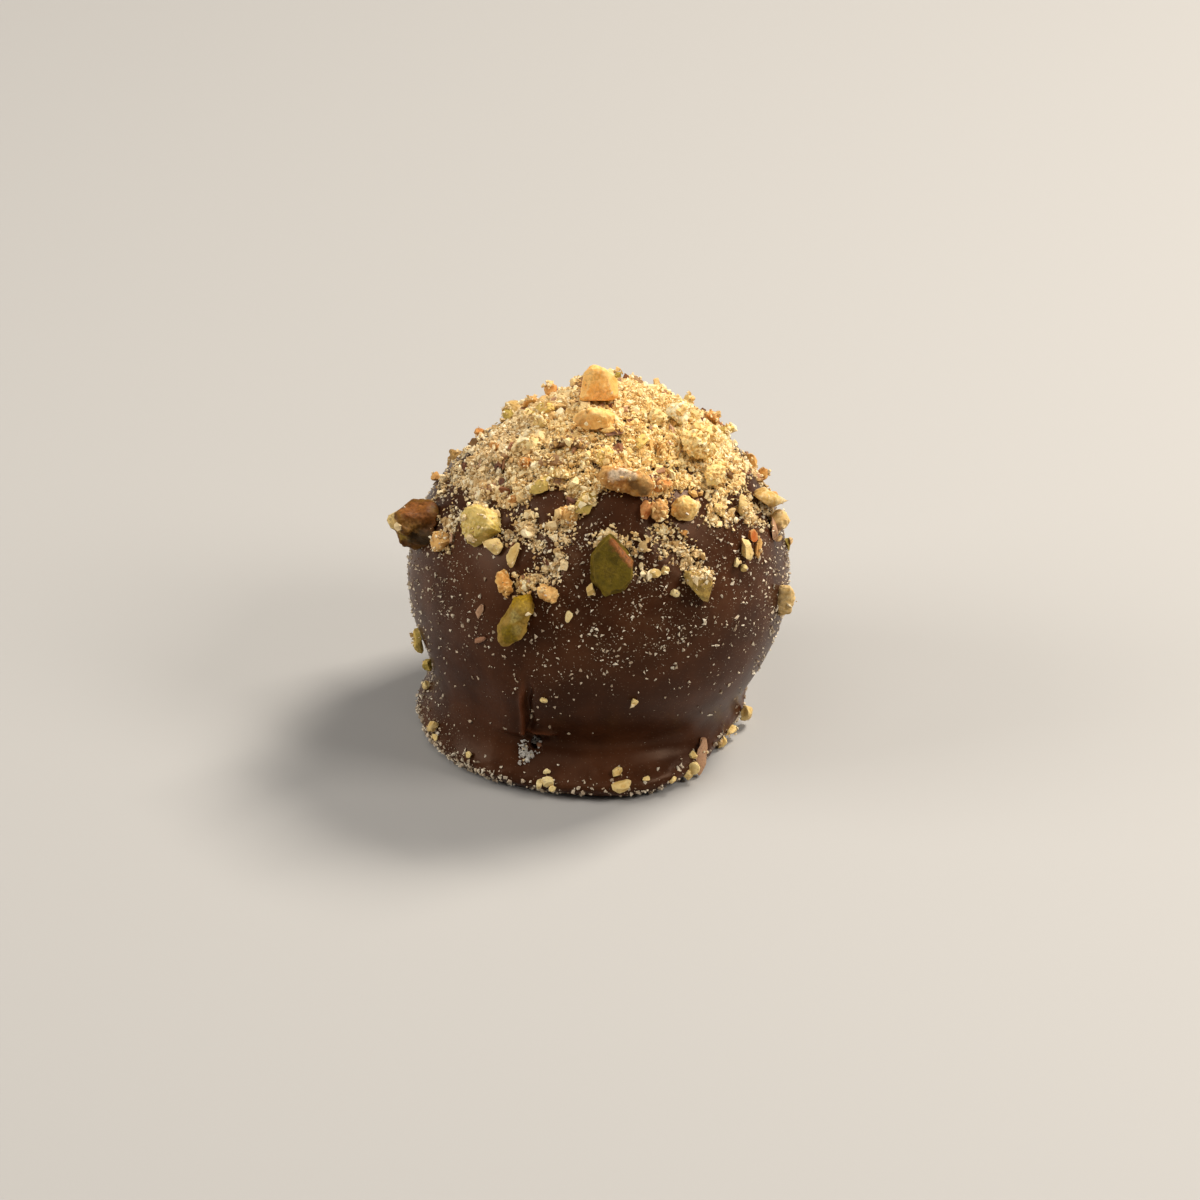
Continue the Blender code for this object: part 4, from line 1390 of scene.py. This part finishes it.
def scatterTree():
    tree = bpy.data.node_groups.new("scatter meal", "GeometryNodeTree")
    for name, kind in scatterInputs.items():
        tree.interface.new_socket(name, in_out="INPUT", socket_type="NodeSocket" + kind)
    tree.interface.new_socket("Geometry", in_out="OUTPUT", socket_type="NodeSocketGeometry")
    graph = Graph(tree)
    given = graph.node("NodeGroupInput")

    def value(name):
        return Wire(graph, given.outputs[name])

    def step(kind, inputs, settings=None, output=0):
        return graph.wire("GeometryNode" + kind, settings, inputs, output)

    def chance(low, high, shift, kind="FLOAT"):
        # the sockets of numbers start at 2, those of vectors at 0
        first, output = {"FLOAT": (2, 1), "FLOAT_VECTOR": (0, 0)}[kind]
        inputs = {first: low, first + 1: high, "Seed": value("Seed") + shift}
        return graph.wire("FunctionNodeRandomValue", {"data_type": kind}, inputs, output)

    def scaled(vector, scale):
        inputs = {0: vector, "Scale": scale}
        return graph.wire("ShaderNodeVectorMath", {"operation": "SCALE"}, inputs)

    def knocked(grains, scale, detail, reach):
        # out of shape by noise of that scale
        inputs = {"Vector": step("InputPosition", None), "Scale": scale, "Detail": detail}
        noisy = graph.wire("ShaderNodeTexNoise", None, inputs, "Color")
        centred = graph.wire("ShaderNodeVectorMath", {"operation": "SUBTRACT"}, [noisy, (0.5, 0.5, 0.5)])
        return step("SetPosition", {"Geometry": grains, "Offset": scaled(centred, reach)})

    smallest, largest = value("Smallest"), value("Largest")
    cover = step("InputNamedAttribute", {"Name": value("Cover")}, {"data_type": "FLOAT"})
    spread = graph.node("GeometryNodeDistributePointsOnFaces", {"distribute_method": "RANDOM"}, {
        "Mesh": value("Geometry"), "Density": cover * value("Grains per Area"), "Seed": value("Seed")})
    points, normal, facing = (Wire(graph, spread.outputs[name]) for name in ("Points", "Normal", "Rotation"))
    lift = scaled(normal, chance(value("Lift Low"), value("Lift High"), 1))
    points = step("SetPosition", {"Geometry": points, "Offset": lift})

    # none goes below the floor
    place = graph.node("ShaderNodeSeparateXYZ", None, [step("InputPosition", None)])
    x, y, z = (Wire(graph, place.outputs[name]) for name in "XYZ")
    above = graph.wire("ShaderNodeCombineXYZ", None, [x, y, z.join("MAXIMUM", z, largest * 0.75)])
    points = step("SetPosition", {"Geometry": points, "Position": above})
    points = step(
        "StoreNamedAttribute", {"Geometry": points, "Name": "tone", "Value": chance(0.0, 1.0, 2)},
        {"data_type": "FLOAT", "domain": "POINT"},
    )

    size = chance(0.0, 1.0, 3) ** value("Size Bias") * (largest - smallest) + smallest
    stretch = scaled(chance(value("Stretch Low"), value("Stretch High"), 4, "FLOAT_VECTOR"), size)
    turn = chance((0.0, 0.0, 0.0), (0.7, 0.7, 2 * math.pi), 5, "FLOAT_VECTOR")
    turn = graph.wire("FunctionNodeEulerToRotation", None, [turn])
    along = graph.wire("FunctionNodeRotateRotation", {"rotation_space": "LOCAL"}, [facing, turn])
    grain = step("MeshUVSphere", {"Radius": 0.55, "Segments": value("Segments"), "Rings": value("Rings")})
    grains = step("InstanceOnPoints", {
        "Points": points, "Instance": grain, "Rotation": along, "Scale": stretch})
    grains = step("RealizeInstances", {"Geometry": grains})
    grains = knocked(grains, 1 / (0.23 * mm), 1.0, smallest * 0.35 + largest * 0.45)
    grains = knocked(grains, largest ** -1.0 * 1.5, 0.0, largest * 0.7)
    grains = step("SetShadeSmooth", {"Geometry": grains, "Shade Smooth": False})
    grains = step("SetMaterial", {"Geometry": grains, "Material": value("Finish")})
    graph.node("NodeGroupOutput", None, {"Geometry": grains})
    return tree


def coverArea(mesh, name):
    # square metres of surface, weighted by an attribute
    mesh.calc_loop_triangles()
    corners = np.empty(len(mesh.loop_triangles) * 3, np.int32)
    mesh.loop_triangles.foreach_get("vertices", corners)
    corners = corners.reshape(-1, 3)
    points = pointsOf(mesh)
    a, b, c = (points[corners[:, k]] for k in range(3))
    area = np.linalg.norm(np.cross(b - a, c - a), axis=1) / 2
    return float((area * readValues(mesh, name)[corners].mean(1)).sum())


def scatter(name, tree, ground, making, finish):
    thing = addObject(name, ground.data.copy())
    layer = thing.modifiers.new("scatter", "NODES")
    layer.node_group = tree
    smallest, largest = (size * mm for size in making["sizes"])
    stretchLow, stretchHigh = making["stretch"]
    liftLow, liftHigh = (lift * mm for lift in making["lift"])
    segments, rings = making["shape"]
    values = {
        "Cover": making["cover"],
        "Grains per Area": making["count"] / coverArea(ground.data, making["cover"]),
        "Smallest": smallest, "Largest": largest, "Size Bias": making["sizeBias"],
        "Stretch Low": stretchLow, "Stretch High": stretchHigh, "Lift Low": liftLow, "Lift High": liftHigh,
        "Segments": segments, "Rings": rings, "Seed": making["seed"], "Finish": finish,
    }
    for socket in tree.interface.items_tree:
        if socket.in_out == "INPUT" and socket.name in values:
            layer[socket.identifier] = values[socket.name]
    mesh = applyModifiers(thing)
    for layerName in (
        "grains", "paleGrains", "goldGrains", "flakes", "sprinkle", "footLine", "rise", "worn", "patched",
        "tint", "film", "dusting", "crest", "catch", "thin",
    ):
        if layerName in mesh.attributes:
            mesh.attributes.remove(mesh.attributes[layerName])
    print(" ", name, len(mesh.polygons), "faces")
    return thing


mealLook = {
    # painted shade in the crust's pits, standing also for the coat's brown seen between the grains
    "hollow": (0.105, 0.045, 0.019),
    "speck": (
        (0.0, (0.24, 0.16, 0.10)), (0.3, (0.50, 0.39, 0.27)), (0.7, (0.70, 0.60, 0.45)),
        (1.0, (0.84, 0.77, 0.62)),
    ),
    "pale": (
        (0.0, (0.16, 0.070, 0.026)), (0.06, (0.34, 0.18, 0.07)), (0.16, (0.54, 0.35, 0.15)),
        (0.34, (0.72, 0.52, 0.26)), (0.65, (0.87, 0.71, 0.43)), (1.0, (0.95, 0.88, 0.68)),
    ),
    "golden": (
        (0.0, (0.30, 0.12, 0.03)), (0.06, (0.50, 0.26, 0.07)), (0.16, (0.68, 0.40, 0.12)),
        (0.34, (0.82, 0.55, 0.20)), (0.65, (0.92, 0.72, 0.34)), (1.0, (0.96, 0.88, 0.60)),
    ),
    "hollowShade": (0.20, 0.75),  # crest values between which the painted shade of the hollows ends
    "bumpDepth": 0.04,
}


def mealFinish(name, speckle, pale="pale", golden="golden", hollowShade=False):
    material, graph, shader, place = startFinish(name, {"IOR": 1.45, "Specular IOR Level": 0.25})
    wander = graph.noise(place, 0.6, 2)
    pores = graph.noise(place, 0.10, 2)
    tone = graph.attribute("tone") * (1 - speckle) + pores * speckle + (wander - 0.5) * 0.35
    colour = graph.colours(
        graph.attribute("gold"), graph.ramp(tone, mealLook[pale]), graph.ramp(tone, mealLook[golden])
    )
    # painted shade: the crust's pits are darkened
    if hollowShade:
        crest = graph.attribute("crest") + (pores - 0.5) * 0.3
        colour = graph.colours(graph.between(crest, *mealLook["hollowShade"]), mealLook["hollow"], colour)
    feed(graph, shader, colour, 0.62 + pores * 0.2, pores, mealLook["bumpDepth"] * mm)
    return material


surfaces = [coat, crust, *nuts.values(), *bits.values()]
markGround(surfaces)
ground = joined("ground", surfaces)
tree = scatterTree()
grainFinish = mealFinish("loose nut meal", 0.25)
speckFinish = mealFinish("pale specks", 0.25, "speck", "speck")
flakeFinish = bitFinish("loose skin", bitLooks["skin"])
finishes = {"skin_flakes": flakeFinish, "loose_specks": speckFinish, "foot_crumbs": speckFinish}
meal = {}
for name, making in scatters.items():
    meal[name] = scatter(name, tree, ground, making, finishes.get(name, grainFinish))
bpy.data.objects.remove(ground)
print("loose meal done")

coat.data.materials.clear()
coat.data.materials.append(chocolateFinish())
crust.data.materials.append(mealFinish("packed nut meal", 0.35, hollowShade=True))


# What each piece stands for


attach(coat, "root")
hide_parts("truffle")
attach(crust, "root")
for node, nut in nuts.items():
    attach(nut, "root")
    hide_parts(node)
for kind, thing in bits.items():
    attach(thing, "root")
for thing in meal.values():
    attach(thing, "root")


# Floor, light and camera

studio = {
    "floorSize": 3.0,
    "floor": (0.42, 0.41, 0.398),
    "floorRoughness": 0.7,
    "world": (1.0, 0.98, 0.95),
    "worldStrength": 0.10,
    "backdrop": (0.62, 0.61, 0.60),  # what shows past the floor's edge
    "cameraElevation": 29.0,
    "cameraDistance": 0.8,
    "lens": 306.0,
    "target": (0.16 * mm, 0.0, 9.85 * mm),
    # azimuth, elevation, distance, size, power, colour
    "lamps": (
        (-82, 30, 0.42, 0.24, 1.0, (1.0, 0.96, 0.90)),
        (68, 38, 0.42, 0.16, 0.95, (1.0, 0.94, 0.86)),
        (128, 50, 0.45, 0.14, 2.5, (1.0, 0.93, 0.83)),
        (-30, 66, 0.45, 0.26, 0.35, (1.0, 0.95, 0.88)),
    ),
}


def makeFloor():
    shape = bmesh.new()
    bmesh.ops.create_grid(shape, x_segments=1, y_segments=1, size=studio["floorSize"] / 2)
    floor = bmeshToObject("floor", shape)
    material = bpy.data.materials.new("pale floor")
    material.use_nodes = True
    shader = material.node_tree.nodes["Principled BSDF"]
    shader.inputs["Base Color"].default_value = (*studio["floor"], 1)
    shader.inputs["Roughness"].default_value = studio["floorRoughness"]
    floor.data.materials.append(material)
    floor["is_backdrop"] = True


def aim(thing, azimuth, elevation, distance):
    target, away = Vector(studio["target"]), Vector(heading(azimuth, elevation))
    thing.location = target + away * distance
    thing.rotation_euler = away.to_track_quat("Z", "Y").to_euler()


def makeStudio():
    makeFloor()
    for azimuth, elevation, distance, size, power, colour in studio["lamps"]:
        light = bpy.data.lights.new("softbox", "AREA")
        light.shape, light.size, light.energy, light.color = "SQUARE", size, power, colour
        aim(addObject("softbox", light), azimuth, elevation, distance)
    world = bpy.data.worlds.new("studio")
    world.use_nodes = True
    world.node_tree.nodes.clear()
    graph = Graph(world.node_tree)
    seen = graph.wire("ShaderNodeLightPath", output="Is Camera Ray")
    glow = tuple(studio["worldStrength"] * c for c in studio["world"])
    colour = graph.colours(seen, glow, studio["backdrop"])
    sky = graph.wire("ShaderNodeBackground", None, {"Color": colour})
    graph.node("ShaderNodeOutputWorld", None, {"Surface": sky})
    scene = bpy.context.scene
    scene.world = world
    scene.view_settings.view_transform = "Standard"
    camera = addObject("camera", bpy.data.cameras.new("camera"))
    camera.data.lens, camera.data.sensor_width = studio["lens"], 36
    camera.data.clip_start, camera.data.clip_end = 0.01, 10
    aim(camera, 0, studio["cameraElevation"], studio["cameraDistance"])
    scene.camera = camera


makeStudio()
total = sum(len(face.vertices) - 2 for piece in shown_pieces() for face in piece.data.polygons)
print("triangles in all:", total)
